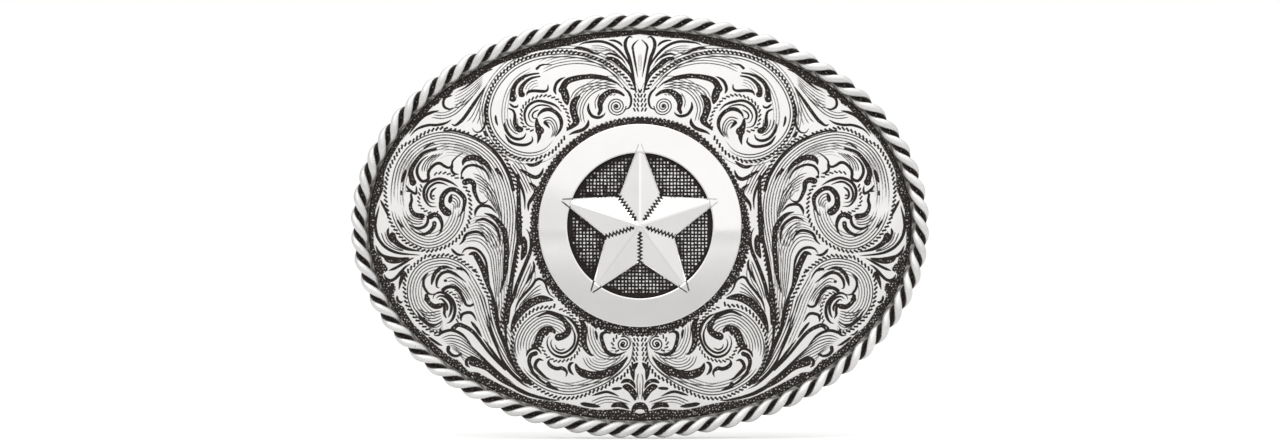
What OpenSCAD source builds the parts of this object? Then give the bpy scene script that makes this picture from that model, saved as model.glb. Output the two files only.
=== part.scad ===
// Western oval plate buckle: two domed plates, a twisted rope edge and a
// star-in-ring medallion in front, a hinged belt bail and a hook post behind.
// Stands upright as worn: +X to the right seen from the front, +Y towards the
// wearer, +Z up. The origin is the centre of the oval on the back of the base
// plate. All sizes are in millimetres.

/* [Oval] */
// Overall width of the oval, over the rope edge
oval_w = 95.25; // [92:0.25:100]
// Overall height of the oval, over the rope edge
oval_h = 69.85; // [67:0.25:74]
// Outside radius of the domed face plate
dome_r = 175; // [160:5:220]
// Thickness of the base plate
base_t = 1.2; // [1:0.1:1.5]
// Thickness of the engraved face plate
face_t = 0.9; // [0.7:0.1:1.2]

/* [Rope edge] */
// Overall diameter of the two-strand rope
rope_d = 2.8; // [2.4:0.1:3.2]
// Turns that each strand makes in one lap of the oval
rope_turns = 35; // [30:1:38]

/* [Medallion] */
// Outside diameter of the polished ring
ring_od = 33.2; // [31:0.1:35]
// Inside diameter of the polished ring
ring_id = 23.7; // [22:0.1:25]
// Thickness of the polished ring
ring_t = 1.1; // [0.9:0.1:1.4]
// Thickness of the cross-hatched floor inside the ring
floor_t = 0.3; // [0.2:0.1:0.5]
// Radius of the star's points
star_r = 13.85; // [13:0.05:15]
// Radius of the notches between the star's points
notch_r = 5.85; // [5:0.05:6.5]
// Rise of the star's centre above the front of the face plate
star_rise = 3.2; // [2.6:0.1:4]

/* [Belt bail] */
// Width of the belt that the bail takes
belt_w = 38; // [34:0.5:38]
// Diameter of the bail's wire
wire_d = 2.4; // [2:0.1:2.6]
// Distance from the hinge axis to the middle of the bail's cross bar
bail_reach = 16; // [14:0.5:16.5]
// Distance of the hinge axis from the middle of the oval
hinge_x = 19.5; // [17:0.5:20]
// Distance of the hinge axis behind the origin
hinge_drop = 7; // [6.8:0.1:8]

/* [Hook] */
// Distance of the hook post from the middle of the oval
hook_x = 27; // [24:0.5:29]
// Diameter of the hook post
hook_d = 4; // [3.6:0.1:4.4]
// Length of the hook post's straight part
hook_l = 5; // [4:0.5:6]
// Lean of the hook post towards the middle of the oval, against the belt's pull
hook_lean = 15; // [10:1:20]

/* [Hidden] */
$fn = 96;

// The plates are shells of one ball, whose centre lies ball_r behind the origin.
ball_r = dome_r - face_t - base_t;
base_r = ball_r + base_t;
face_r = dome_r;
ring_r = face_r + ring_t;
floor_r = face_r + floor_t;

// Clearances
seat_gap = 0.02;
trim_gap = 0.08;
pivot_gap = 0.05;
strap_gap = 1.5;

// Rope edge: the middle of the rope follows an oval that lies on a larger ball.
rope_a = (oval_w - rope_d) / 2;
rope_b = (oval_h - rope_d) / 2;
rope_r = base_r + rope_d / 2 + seat_gap;
strand_r = rope_d / 4 - seat_gap / 2;
twist_r = rope_d / 4 + seat_gap / 2;
strand_sides = 8;
rings_a_turn = 10;
rope_rings = rope_turns * rings_a_turn;

// Outlines of the two plates, as half axes
base_rim = 0.5;
base_half = [oval_w / 2 - base_rim, oval_h / 2 - base_rim];
face_half = [oval_w / 2 - rope_d - trim_gap, oval_h / 2 - rope_d - trim_gap];

// Star: heights above the origin
star_points = 5;
star_top = base_t + face_t + star_rise;
cap_low = height_at(ring_r, ring_id / 2) + seat_gap;
tip_top = cap_low + 0.25;
notch_top = cap_low + 0.5;
body_top = cap_low + 0.2;
body_inset = 0.15;

// Bail: half width to the middle of its arms, and the bends of its wire
wire_r = wire_d / 2;
arm_y = (belt_w + strap_gap) / 2 + wire_r;
pivot_bend = 2.5;
bar_bend = 4.5;
pivot_end = 12.5;

// Hinge
knuckle_r = 2.2;
knuckle_from = 11.5;
knuckle_to = arm_y - pivot_bend - 0.25;
web_w = 2.6;
strip_t = 0.9;
strip_w = 7;
strip_l = 2 * knuckle_to + 1.5;

// Hook
pad_r = 4.5;
pad_t = 1;
collar_r = 3;
collar_h = 1.2;
pad_x = -hook_x;

// Height of a ball surface above the origin at distance r from the dome's axis
function height_at(surface_r, r) = sqrt(surface_r * surface_r - r * r) - ball_r;

// Position of a ring in one lap of the rope, on the rope's middle line
function rope_point(i) =
    let (t = 360 * i / rope_rings, x = rope_a * cos(t), y = rope_b * sin(t))
    [x, y, sqrt(rope_r * rope_r - x * x - y * y) - ball_r];

function unit(v) = v / norm(v);

// Direction in which the ball's surface faces at p
function facing(p) = unit(p + [0, 0, ball_r]);

// Length of the rope up to each ring, so that the twist is even along it
rope_lengths = [for (i = 0, s = 0; i <= rope_rings;
    s = s + norm(rope_point(i + 1) - rope_point(i)), i = i + 1) s];

// Middle of one strand, which winds round the rope's middle line
function strand_point(i, phase) =
    let (
        k = (i + rope_rings) % rope_rings,
        p = rope_point(k),
        along = unit(rope_point(k + 1) - rope_point(k - 1)),
        up = facing(p),
        out = cross(along, up),
        turn = phase - 360 * rope_turns * rope_lengths[k] / rope_lengths[rope_rings]
    )
    p + twist_r * (cos(turn) * up + sin(turn) * out);

// The points of one ring of a strand's skin, square to the strand
function strand_ring(i, phase) =
    let (
        p = strand_point(i, phase),
        along = unit(strand_point(i + 1, phase) - strand_point(i - 1, phase)),
        side = unit(cross(along, facing(p))),
        up = cross(side, along)
    )
    [for (j = [0 : strand_sides - 1])
        let (a = 360 * j / strand_sides)
        p + strand_r * (cos(a) * side + sin(a) * up)];

// Faces of a skin whose last ring joins its first
function ring_faces(rings, sides) =
    [for (i = [0 : rings - 1], j = [0 : sides - 1], half = [0, 1])
        let (
            k = (i + 1) % rings,
            l = (j + 1) % sides,
            a = i * sides + j,
            b = i * sides + l,
            c = k * sides + l,
            d = k * sides + j
        )
        half == 0 ? [a, b, c] : [a, c, d]];

// A point of the star's outline: even numbers are points, odd ones notches
function star_corner(i, point_r, hollow_r) =
    let (r = i % 2 == 0 ? point_r : hollow_r, t = 90 + 180 * i / star_points)
    [r * cos(t), r * sin(t)];

function star_outline(point_r, hollow_r) =
    [for (i = [0 : 2 * star_points - 1]) star_corner(i, point_r, hollow_r)];

// Stands what is drawn face up, with its front towards +Z, upright on its edge
module upright() {
    rotate([90, 0, 0]) children();
}

// A ball about the dome's centre
module ball(r) {
    translate([0, 0, -ball_r]) sphere(r, $fn = 480);
}

// A vertical oval column that reaches through the plates
module oval_column(half) {
    translate([0, 0, -dome_r / 4])
        linear_extrude(dome_r / 2) scale([half[0], half[1]]) circle(1, $fn = 240);
}

// The part of a column that lies between two balls about the dome's centre
module shell_of(outer_r, inner_r) {
    difference() {
        intersection() {
            ball(outer_r);
            children();
        }
        ball(inner_r);
    }
}

module base_plate() {
    color("darkgray") upright()
        shell_of(base_r, ball_r) oval_column(base_half);
}

module face_plate() {
    color("lightgray") upright()
        shell_of(face_r, base_r) oval_column(face_half);
}

module strand(phase) {
    points = [for (i = [0 : rope_rings - 1]) each strand_ring(i, phase)];
    upright() polyhedron(points, ring_faces(rope_rings, strand_sides));
}

module rope_strand_a() {
    color("gainsboro") strand(0);
}

module rope_strand_b() {
    color("gainsboro") strand(180);
}

module medallion_floor() {
    color("dimgray") upright()
        shell_of(floor_r, face_r) cylinder(r = ring_id / 2 - trim_gap, h = dome_r / 4);
}

module medallion_ring() {
    color("whitesmoke") upright() shell_of(ring_r, face_r)
        difference() {
            cylinder(r = ring_od / 2, h = dome_r / 4);
            translate([0, 0, -1]) cylinder(r = ring_id / 2, h = dome_r / 2);
        }
}

// The faceted top of the star, flat underneath, with its points over the ring
module star_cap() {
    corners = 2 * star_points;
    outline = star_outline(star_r, notch_r);
    top = [for (i = [0 : corners - 1]) [each outline[i], i % 2 == 0 ? tip_top : notch_top]];
    low = [for (i = [0 : corners - 1]) [each outline[i], cap_low]];
    points = [each top, each low, [0, 0, star_top], [0, 0, cap_low]];
    faces = [for (i = [0 : corners - 1])
        let (k = (i + 1) % corners)
        each [
            [2 * corners, k, i],
            [i, k, corners + k],
            [i, corners + k, corners + i],
            [2 * corners + 1, corners + i, corners + k]
        ]];
    polyhedron(points, faces);
}

// The star's body, which stands on the floor inside the ring
module star_body() {
    difference() {
        intersection() {
            linear_extrude(body_top)
                polygon(star_outline(star_r - body_inset, notch_r - body_inset));
            cylinder(r = ring_id / 2 - trim_gap, h = star_top);
        }
        ball(floor_r);
    }
}

module star() {
    color("whitesmoke") upright() union() {
        star_cap();
        star_body();
    }
}

// A thin solder strip along the hinge, which follows the back of the base plate
module hinge_strip() {
    color("silver") upright() shell_of(ball_r, ball_r - strip_t)
        translate([hinge_x - strip_w / 2, -strip_l / 2, -dome_r / 8])
            cube([strip_w, strip_l, dome_r / 4]);
}

// A tube on a web that stands on the strip; side is 1 for the upper one
module hinge_knuckle(side) {
    length = knuckle_to - knuckle_from;
    upright() translate([0, side > 0 ? knuckle_from : -knuckle_to, 0])
        difference() {
            intersection() {
                union() {
                    translate([hinge_x, 0, -hinge_drop])
                        rotate([-90, 0, 0]) cylinder(r = knuckle_r, h = length);
                    translate([hinge_x - web_w / 2, 0, -hinge_drop])
                        cube([web_w, length, hinge_drop]);
                }
                translate([0, side > 0 ? -knuckle_from : knuckle_to, 0])
                    ball(ball_r - strip_t);
            }
            translate([hinge_x, -1, -hinge_drop])
                rotate([-90, 0, 0]) cylinder(r = wire_r + pivot_gap, h = length + 2);
        }
}

module hinge_knuckle_upper() {
    color("silver") hinge_knuckle(1);
}

module hinge_knuckle_lower() {
    color("silver") hinge_knuckle(-1);
}

// A quarter bend of the wire in the drawn plane, from +X round to +Y
module wire_bend(bend_r) {
    rotate_extrude(angle = 90) translate([bend_r, 0]) circle(wire_r);
}

// Half of the bail: pivot, arm and half of the cross bar
module bail_half() {
    bar_x = hinge_x + bail_reach;
    translate([hinge_x, pivot_end, 0])
        rotate([-90, 0, 0]) cylinder(r = wire_r, h = arm_y - pivot_bend - pivot_end);
    translate([hinge_x + pivot_bend, arm_y - pivot_bend, 0])
        rotate([0, 0, 90]) wire_bend(pivot_bend);
    translate([hinge_x + pivot_bend, arm_y, 0])
        rotate([0, 90, 0]) cylinder(r = wire_r, h = bail_reach - pivot_bend - bar_bend);
    translate([bar_x - bar_bend, arm_y - bar_bend, 0]) wire_bend(bar_bend);
    translate([bar_x, 0, 0])
        rotate([-90, 0, 0]) cylinder(r = wire_r, h = arm_y - bar_bend);
}

module bail() {
    color("silver") upright() translate([0, 0, -hinge_drop]) union() {
        bail_half();
        mirror([0, 1, 0]) bail_half();
    }
}

// Places what is drawn along the hook's axis, from its pad backwards
module along_hook() {
    translate([pad_x, 0, height_at(ball_r, hook_x) - pad_t])
        rotate([180, -hook_lean, 0]) children();
}

module hook_pad() {
    color("silver") upright() shell_of(ball_r, ball_r - pad_t)
        translate([pad_x, 0, -dome_r / 8]) cylinder(r = pad_r, h = dome_r / 4);
}

// The hook: a collar, a straight post and a round nose
module hook_post() {
    color("silver") upright() intersection() {
        along_hook() rotate_extrude() polygon([
            [0, -2], [collar_r, -2], [collar_r, 0], [hook_d / 2, collar_h],
            [hook_d / 2, collar_h + hook_l],
            for (a = [15 : 15 : 75])
                [hook_d / 2 * cos(a), collar_h + hook_l + hook_d / 2 * sin(a)],
            [0, collar_h + hook_l + hook_d / 2]
        ]);
        ball(ball_r - pad_t);
    }
}

base_plate();
face_plate();
rope_strand_a();
rope_strand_b();
medallion_floor();
medallion_ring();
star();
hinge_strip();
hinge_knuckle_upper();
hinge_knuckle_lower();
bail();
hook_pad();
hook_post();
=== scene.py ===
"""An engraved oval belt buckle with a rope edge and a star medallion, standing on a pale floor."""
import math

import bpy
import numpy as np
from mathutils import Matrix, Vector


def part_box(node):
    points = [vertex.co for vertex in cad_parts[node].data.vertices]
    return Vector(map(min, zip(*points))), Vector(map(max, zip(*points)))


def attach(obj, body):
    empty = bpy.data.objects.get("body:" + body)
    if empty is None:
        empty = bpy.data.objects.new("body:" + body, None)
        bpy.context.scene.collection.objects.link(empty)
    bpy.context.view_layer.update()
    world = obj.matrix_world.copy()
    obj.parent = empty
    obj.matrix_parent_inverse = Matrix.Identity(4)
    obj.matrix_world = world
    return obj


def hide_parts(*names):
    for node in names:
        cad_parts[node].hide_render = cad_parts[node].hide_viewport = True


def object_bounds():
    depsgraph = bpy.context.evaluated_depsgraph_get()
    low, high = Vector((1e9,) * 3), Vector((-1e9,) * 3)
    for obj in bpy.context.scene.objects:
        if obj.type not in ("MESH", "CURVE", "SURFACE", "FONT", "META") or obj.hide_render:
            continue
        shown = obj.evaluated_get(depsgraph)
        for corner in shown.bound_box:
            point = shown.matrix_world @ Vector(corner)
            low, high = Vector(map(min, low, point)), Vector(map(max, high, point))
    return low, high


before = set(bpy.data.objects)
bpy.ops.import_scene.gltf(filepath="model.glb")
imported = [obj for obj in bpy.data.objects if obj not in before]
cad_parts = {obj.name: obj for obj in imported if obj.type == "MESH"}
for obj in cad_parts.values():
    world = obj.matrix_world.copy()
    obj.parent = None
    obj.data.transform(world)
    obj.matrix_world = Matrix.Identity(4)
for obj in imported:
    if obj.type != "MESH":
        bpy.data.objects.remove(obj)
cad_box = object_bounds()

MM = 0.001
FULL_TURN = 2 * math.pi

# Every layer of the buckle is part of a ball round one middle. Radii of their surfaces, mm:
BALL_R = 172.9        # back of the back plate; heights are measured from its top
BACK_R = 174.1        # back of the engraved plate
FACE_R = 175.0        # front of the engraved plate
FLOOR_R = 175.3       # front of the medallion's floor
ROPE_R = 175.52       # middle of the rope
RING_R = 176.1        # front of the medallion's ring


def half_size(node):
    """Half the width and half the height of a CAD node, in mm."""
    low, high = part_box(node)
    return (high.x - low.x) / 2 / MM, (high.z - low.z) / 2 / MM


def dome(radius, x, z):
    """How high a ball of that radius stands over (x, z) of the drawing, in mm."""
    return np.sqrt(radius ** 2 - x ** 2 - z ** 2) - BALL_R


def to_frame(x, z, height):
    """Points of the drawing and their height, as an array of points in the CAD frame, in metres."""
    x, z, height = np.broadcast_arrays(x, z, height)
    return np.stack([x.ravel(), -height.ravel(), z.ravel()], 1) * MM


def smooth_step(low, high, value):
    """0 below low, 1 above high and a smooth change between."""
    t = np.clip((value - low) / (high - low), 0, 1)
    return t * t * (3 - 2 * t)


def unit(vectors):
    """The same vectors with a length of 1."""
    return vectors / np.linalg.norm(vectors, axis=-1, keepdims=True)


def round_turn(steps):
    """Angles all the way round at equal steps, as one row."""
    return np.linspace(0, FULL_TURN, steps, endpoint=False)[None, :]


# ---------------------------------------------------------------- meshes

def numbered(rows, columns, first=0, closed=False):
    """The numbers of a grid's points, row by row. Each row of a closed grid ends with its first point."""
    numbers = first + np.arange(rows * columns).reshape(rows, columns)
    return np.hstack([numbers, numbers[:, :1]]) if closed else numbers


def quads(numbers):
    """The four-sided faces of a grid of point numbers."""
    corners = [numbers[:-1, :-1], numbers[:-1, 1:], numbers[1:, 1:], numbers[1:, :-1]]
    return np.stack(corners, -1).reshape(-1, 4)


def disc(radius, rings, steps, front_r, back_r, sunk=0.0):
    """Points, side faces and middle faces of a closed disc. Its back is sunk below back_r by that much."""
    turn = round_turn(steps)
    out = np.linspace(0.04, 1, rings)[:, None] * radius
    x, z = out * np.cos(turn), out * np.sin(turn)
    points = [to_frame(x, z, dome(front_r, x, z)), to_frame(x, z, dome(back_r, x, z) - sunk)]
    front = numbered(rings, steps, 0, True)
    back = numbered(rings, steps, rings * steps, True)
    rim = np.stack([back[-1], front[-1]])
    sides = [quads(front)[:, ::-1], quads(back), quads(rim)]
    return np.concatenate(points), sides, [front[:1, :-1], back[:1, -2::-1]]


def build_mesh(name, points, faces, node, material, smooth=True):
    """A piece that stands for a CAD node. Each array of faces holds faces with one number of corners."""
    mesh = bpy.data.meshes.new(name)
    mesh.vertices.add(len(points))
    mesh.vertices.foreach_set("co", np.asarray(points, np.float32).ravel())
    corners = np.concatenate([np.asarray(f, np.int32).ravel() for f in faces])
    sizes = np.concatenate([np.full(len(f), np.shape(f)[1], np.int32) for f in faces])
    mesh.loops.add(len(corners))
    mesh.loops.foreach_set("vertex_index", corners)
    mesh.polygons.add(len(sizes))
    mesh.polygons.foreach_set("loop_start", np.cumsum(sizes) - sizes)
    mesh.polygons.foreach_set("use_smooth", np.full(len(sizes), smooth))
    mesh.update(calc_edges=True)
    mesh.validate()
    piece = bpy.data.objects.new(name, mesh)
    bpy.context.scene.collection.objects.link(piece)
    mesh.materials.append(material)
    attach(piece, "buckle")
    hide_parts(node)
    return piece


def add_layer(piece, name, values, kind="FLOAT", field="value"):
    """A number or a vector for each point, which the material reads."""
    layer = piece.data.attributes.new(name, kind, "POINT")
    layer.data.foreach_set(field, np.asarray(values, np.float32).ravel())


# ---------------------------------------------------------------- engraving

CELL = 0.05           # mm
X_AXIS = np.arange(-45.2, 0.4, CELL)
Z_AXIS = np.arange(-33.0, 33.0, CELL)
EDGE = 0.07           # how fast a cut turns dark at its edge, mm
BURR = 1.3            # a cut's width over its drawn width, with the metal that it pushes aside
LINE_GAP = 0.46       # least space between two shading lines, mm
END_GAPS = (0.17, 0.34)        # shading lines end where they come this close, mm, by turns
DEEPEST = 0.2         # deepest cut, mm
GROUND_DEPTH = 0.16   # how deep the punched ground lies, and how high its bumps stand, mm
BUMP_HEIGHT = 0.09


def settle(points):
    """Moves the drawn points so that the pattern's own middle lies on the plate's middle.

    Its drawn middle lies left of the plate's, but right of it at the bottom, and a little low."""
    wide, tall, low = 47, 35, 0.34
    right, left = -0.35, 0.57
    x, z = points[:, 0], points[:, 1]
    lean = np.interp(z, [-27, -12], [right, left])
    side = 1 - (x / wide) ** 2
    inward = side - (z / tall) ** 2
    return np.stack([x + lean * np.clip(side, 0, 1), z + low * np.clip(inward, 0, 1)], 1)


def curve(numbers, step=0.22):
    """A smooth line through x, z, x, z ... as an array of points about a step apart."""
    knots = settle(np.array(numbers, float).reshape(-1, 2))
    padded = np.vstack([2 * knots[0] - knots[1], knots, 2 * knots[-1] - knots[-2]])
    line = []
    for a, b, c, d in zip(padded, padded[1:], padded[2:], padded[3:]):
        count = max(2, math.ceil(np.hypot(*(c - b)) / step))
        t = np.arange(count)[:, None] / count
        line.append(0.5 * (2 * b + (c - a) * t + (2 * a - 5 * b + 4 * c - d) * t ** 2
                           + (3 * b - a - 3 * c + d) * t ** 3))
    line.append(knots[-1:])
    return np.concatenate(line)


def respace(line, count):
    """The same line as count points at equal spaces."""
    along = np.concatenate([[0], np.cumsum(np.hypot(*np.diff(line, axis=0).T))])
    where = np.linspace(0, along[-1], count)
    return np.stack([np.interp(where, along, line[:, k]) for k in (0, 1)], 1)


def to_left(line):
    """Unit vectors to the left of a line, at each of its points."""
    along = np.gradient(line, axis=0)
    return np.stack([-along[:, 1], along[:, 0]], 1) / np.hypot(*along.T)[:, None]


def tapered(t, start, end, power):
    """1 along most of a line, and falling to 0 over the shares start and end of its length."""
    return np.minimum(1, t / start) ** power * np.minimum(1, (1 - t) / end) ** power


def cells_near(a, b, reach, axis):
    """The cells of an axis that lie within reach of the stretch from a to b."""
    low = int((min(a, b) - reach - axis[0]) / CELL)
    high = int((max(a, b) + reach - axis[0]) / CELL)
    return slice(max(0, low), high + 2)


class Graver:
    """The left half of the plate as a grid of cells: how deep each is cut, in mm, and how dark."""

    def __init__(self):
        self.depth = np.zeros((len(Z_AXIS), len(X_AXIS)))
        self.dark = np.zeros_like(self.depth)

    def groove(self, line, radii, slope=0.5, tone=1.0):
        """A groove with a V section along a line; radii is half its width at each point."""
        for (x0, z0), (x1, z1), r0, r1 in zip(line, line[1:], radii, radii[1:]):
            reach = max(r0, r1) + CELL
            across = cells_near(x0, x1, reach, X_AXIS)
            up = cells_near(z0, z1, reach, Z_AXIS)
            x = X_AXIS[across] - x0
            z = Z_AXIS[up][:, None] - z0
            dx, dz = x1 - x0, z1 - z0
            t = np.clip((x * dx + z * dz) / (dx * dx + dz * dz + 1e-9), 0, 1)
            inside = r0 + (r1 - r0) * t - np.hypot(x - t * dx, z - t * dz)
            depth, dark = self.depth[up, across], self.dark[up, across]
            np.maximum(depth, slope * inside, out=depth)
            np.maximum(dark, tone * np.clip(inside / EDGE + 0.35, 0, 1), out=dark)

    def fine_line(self, line, width, tone):
        """A shallow groove."""
        self.groove(line, np.broadcast_to(width, len(line)) / 2, slope=0.3, tone=tone)

    def cut(self, width, *numbers, tone=1.0):
        """A graver's cut that swells from a point and fades to a point."""
        line = curve(numbers)
        swell = tapered(np.linspace(0, 1, len(line)), 0.22, 0.35, 0.6)
        self.groove(line, BURR * width / 2 * swell, tone=tone)

    def comma(self, width, *numbers):
        """A cut that starts full and runs out to a point."""
        line = curve(numbers)
        t = np.linspace(0, 1, len(line))
        self.groove(line, BURR * width / 2 * (1 - t) ** 0.7)

    def swell(self, start, end, *numbers):
        """A cut whose width goes from start to end."""
        line = curve(numbers)
        self.groove(line, BURR * np.linspace(start, end, len(line)) / 2)

    def blob(self, width, x, z):
        """A round punch mark."""
        self.groove(curve([x - 0.05, z, x + 0.05, z]), [width / 2] * 3)

    def shade(self, count, first, last, width=0.2, tone=0.9):
        """Fine lines side by side, from the line first towards the line last, or past it for want of room."""
        points = max(len(curve(first)), len(curve(last)))
        first, last = respace(curve(first), points), respace(curve(last), points)
        taper = tapered(np.linspace(0, 1, points), 0.1, 0.15, 0.5)
        room = np.hypot(*(last - first).T)
        spread = max(1, LINE_GAP * count / room.mean())
        gap = room * spread / count
        for k in range(count):
            share = (k + 0.5) / count * spread
            keep = gap > END_GAPS[k % 2]
            if keep.sum() > 3:
                line = (first + (last - first) * share)[keep]
                self.fine_line(line, width * taper[keep], tone * (1 - 0.45 * k / count))

    def echo(self, count, *numbers, side=-1, width=0.2, tone=0.9):
        """Fine lines beside a line, each one further to its right, or to its left where side is 1."""
        line = curve(numbers)
        out = to_left(line) * side
        for k in range(count):
            trim = int(len(line) * 0.03 * (k * 5 % 4))
            beside = (line + out * LINE_GAP * k)[trim:len(line) - trim]
            taper = tapered(np.linspace(0, 1, len(beside)), 0.1, 0.1, 0.5)
            self.fine_line(beside, width * taper, tone * (1 - 0.5 * k / count))

    def wriggle(self, *numbers, size=0.17, pitch=0.72, width=0.33):
        """The line of a rocked graver: slanted dashes, with a finer line from each one to the next."""
        line = curve(numbers, 0.1)
        length = np.hypot(*np.diff(line, axis=0).T).sum()
        corners = 2 * max(2, int(length / pitch))
        line = respace(line, corners)
        turns = line + to_left(line) * np.where(np.arange(corners) % 2, size, -size)[:, None]
        for k in range(corners - 1):
            radius, tone = (width * 0.2, 0.5) if k % 2 else (width / 2, 1.0)
            self.groove(turns[k:k + 2], [radius] * 2, slope=0.35, tone=tone)

    def coil(self, x, z, start, end, turns, width=0.22, tone=0.95):
        """A small spiral from the radius start to the radius end."""
        t = np.linspace(0, 1, int(turns * 16))
        r = start + (end - start) * t
        angle = FULL_TURN * turns * t
        self.fine_line(settle(np.stack([x + r * np.cos(angle), z + r * np.sin(angle)], 1)), width, tone)


def engrave_top_fan(g):
    g.cut(.3, -3.4, 29.2, -3.9, 29.8, -4.75, 30.2, -5.8, 30.3)
    g.cut(.35, -10.7, 29.4, -9.5, 29.9, -6.75, 30.05, -4.5, 29, -2.6, 26.75, -1.7, 24.6)
    g.shade(5, [-8.8, 29.5, -7, 29.5, -5.4, 28.9, -4, 27.8, -2.9, 26.3, -2.3, 25.2], [-8.6, 28.6, -5.6,
            28.5, -4.4, 27.9, -3.4, 27], width=.16, tone=.7)
    g.cut(.34, -11.5, 28.95, -10.6, 29.05, -9.75, 28.9, -7.75, 28.05, -6.9, 28.25)
    g.cut(.3, -6.5, 27.8, -5.5, 28.05, -4.5, 27.75, -3.6, 27.2, -2.9, 26.4)
    g.swell(.4, .7, -5.9, 27.25, -5.2, 27.2, -4.4, 26.75)
    g.swell(.7, .25, -4.4, 26.75, -2.4, 24.75, -1.7, 23.5, -1.3, 22.1)
    g.cut(.45, -1.7, 30.6, -2.25, 30.9, -2.8, 30.4, -3, 29.5, -2.75, 28.4, -2.25, 27, -1.25, 22.3)
    g.cut(.3, -0.7, 30.5, -1.7, 29.4, -1.65, 28.2, -0.9, 23.9, tone=.8)
    g.cut(.18, -0.7, 28.2, -0.75, 26.5, -0.7, 24.9, tone=.4)
    for x in (-1.5, -0.95):
        g.wriggle(x, 18.5, x + 0.1, 20.4, x + 0.25, 22, size=.11, pitch=.66, width=.28)


def engrave_scroll_a(g):
    g.wriggle(-1.7, 22, -3, 24.1, -5.5, 26.1, -7, 26.9, -9.6, 27.8, -13, 28.5, -16.5, 28.1, -19.5, 27.3,
              -21, 26.6, -23.6, 24.3, -25, 21.8, -25.6, 18.5, -24.8, 15, -23.2, 12.6, -20.8, 10.9, -18,
              10.5, -16.8, 10.9, -15.6, 11.3, -14.4, 12.2, -12.8, 14.2)
    g.echo(5, -2.2, 20.6, -3.2, 22.6, -6.5, 25.8, -11, 27.4, -16.5, 27.3, -20.7, 25.7, -23.5, 22.8, -24.8,
           19.5, -24.6, 16.5, -23.2, 14, -21, 12.2, -18.5, 11.6, -16.2, 12.2, -14.6, 13.8)
    g.echo(5, -3.6, 23.6, -6.3, 25.5, -10.3, 26.4, -14, 26, -16.6, 24.9, width=.17, tone=.8)
    g.echo(3, -22.2, 14.6, -23, 17, -22.9, 20, -22, 22.6, -20.4, 24.5, -18.2, 25.8, width=.16, tone=.7)
    g.echo(3, -19.3, 22, -18.9, 22.8, -18.2, 23.4, -17.2, 23.7, width=.16, tone=.7)
    g.echo(2, -20.6, 20.6, -20.9, 22, -20.4, 23.2, -19.3, 24, width=.16, tone=.7)
    g.comma(.35, -17.4, 25.6, -16.6, 26.2, -14.8, 26.3)
    g.swell(.2, .7, -17.1, 24.8, -18.5, 24.6, -20, 24, -20.9, 23, -21.3, 21.8, -21.4, 20.8)
    g.blob(1.05, -21.3, 20.6)
    g.swell(.2, .65, -16.9, 24.3, -18.3, 24, -19.4, 23.2, -19.95, 22.2, -19.9, 21.3)
    g.blob(.9, -19.8, 21.3)
    g.cut(.3, -21.9, 19.9, -21.2, 19.3, -20.6, 19.3, -20.4, 19.7)
    g.cut(.4, -19.1, 21.1, -18.8, 21.7, -17.9, 21.9, -16.1, 21.8, -15.6, 22.2, -15.6, 23)
    g.cut(.4, -14.2, 21.2, -14.5, 22, -14.2, 23.1, -13.5, 23.8, -12.7, 24.15)
    g.comma(.9, -13.3, 22, -12.6, 23.3, -11.2, 23.9, -9, 24.2, -6.6, 23.9, -4.6, 23.3, -3.3, 22.1)
    g.cut(.5, -10, 24.4, -8, 24.3, -6, 23.9, -4.4, 23)
    g.cut(1.0, -13.5, 22.3, -12.9, 21.6, -12.4, 19.5)
    g.cut(.9, -10.3, 21, -11.2, 20.2, -11.5, 18.9, -11.2, 17.6, -11, 16.6, -12.6, 15.2)
    g.cut(.45, -9, 17.1, -9.1, 16.2, -9.9, 15.4, -11.5, 14.9, -12.2, 14.5)
    g.cut(.4, -8.9, 19.9, -9, 18.8, -8.4, 17.7, -7.3, 17.4, -6.5, 17.8, -6.2, 18.3)
    g.swell(.3, .9, -3.25, 21.1, -4, 21.6, -5, 21.8, -6, 21.4, -6.8, 20.6)
    g.swell(.9, .4, -6.8, 20.6, -7.1, 19.6, -7, 18.7, -7.3, 18)
    g.shade(3, [-7.3, 21.6, -8.1, 20.2, -8, 18.7], [-6.9, 21.2, -7.5, 20, -7.4, 18.7], width=.17, tone=.8)
    g.coil(-4.4, 19.25, .2, 1.55, 3, width=.2, tone=.9)
    g.blob(.5, -4.4, 19.2)
    g.wriggle(-6.6, 20, -5.8, 21, -4.6, 21.2, size=.06, pitch=.42, width=.16)
    g.cut(.3, -3.4, 22.5, -2.3, 21.4, -2, 20.2, -2.3, 19.1, -3.3, 18.6)
    g.echo(3, -4.4, 22.8, -7, 23.2, -9.5, 22.8, -11.2, 21.8, -12, 20.4, side=1, width=.17)
    g.echo(5, -9.6, 16.4, -9.9, 18.6, -9.2, 20.4, -7.8, 21.7, -5.8, 22.4, -4.2, 22.3, side=1, width=.17)
    g.swell(.2, .7, -21.9, 19, -21.2, 18.6, -20.95, 17.8, -20.95, 16.6, -20.6, 15.9, -20, 15.5)
    g.blob(1.0, -20.2, 15.5)
    g.cut(.3, -24.1, 18, -24, 17, -23.7, 16.1)
    g.cut(.4, -22.7, 16.8, -22.4, 15.5, -21.5, 14.3, -20.4, 13.9, -19.5, 14.2, -19.1, 15)
    g.cut(.4, -22.6, 14.8, -21.7, 13.5, -20.4, 13, -19, 13, -18.1, 13.6, -18.2, 14.5)
    g.shade(4, [-22.6, 17.4, -22.2, 16, -21.2, 14.9, -20.3, 14.6], [-21.6, 17.4, -21.4, 16.4, -20.8, 15.4,
            -20.2, 15])


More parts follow.
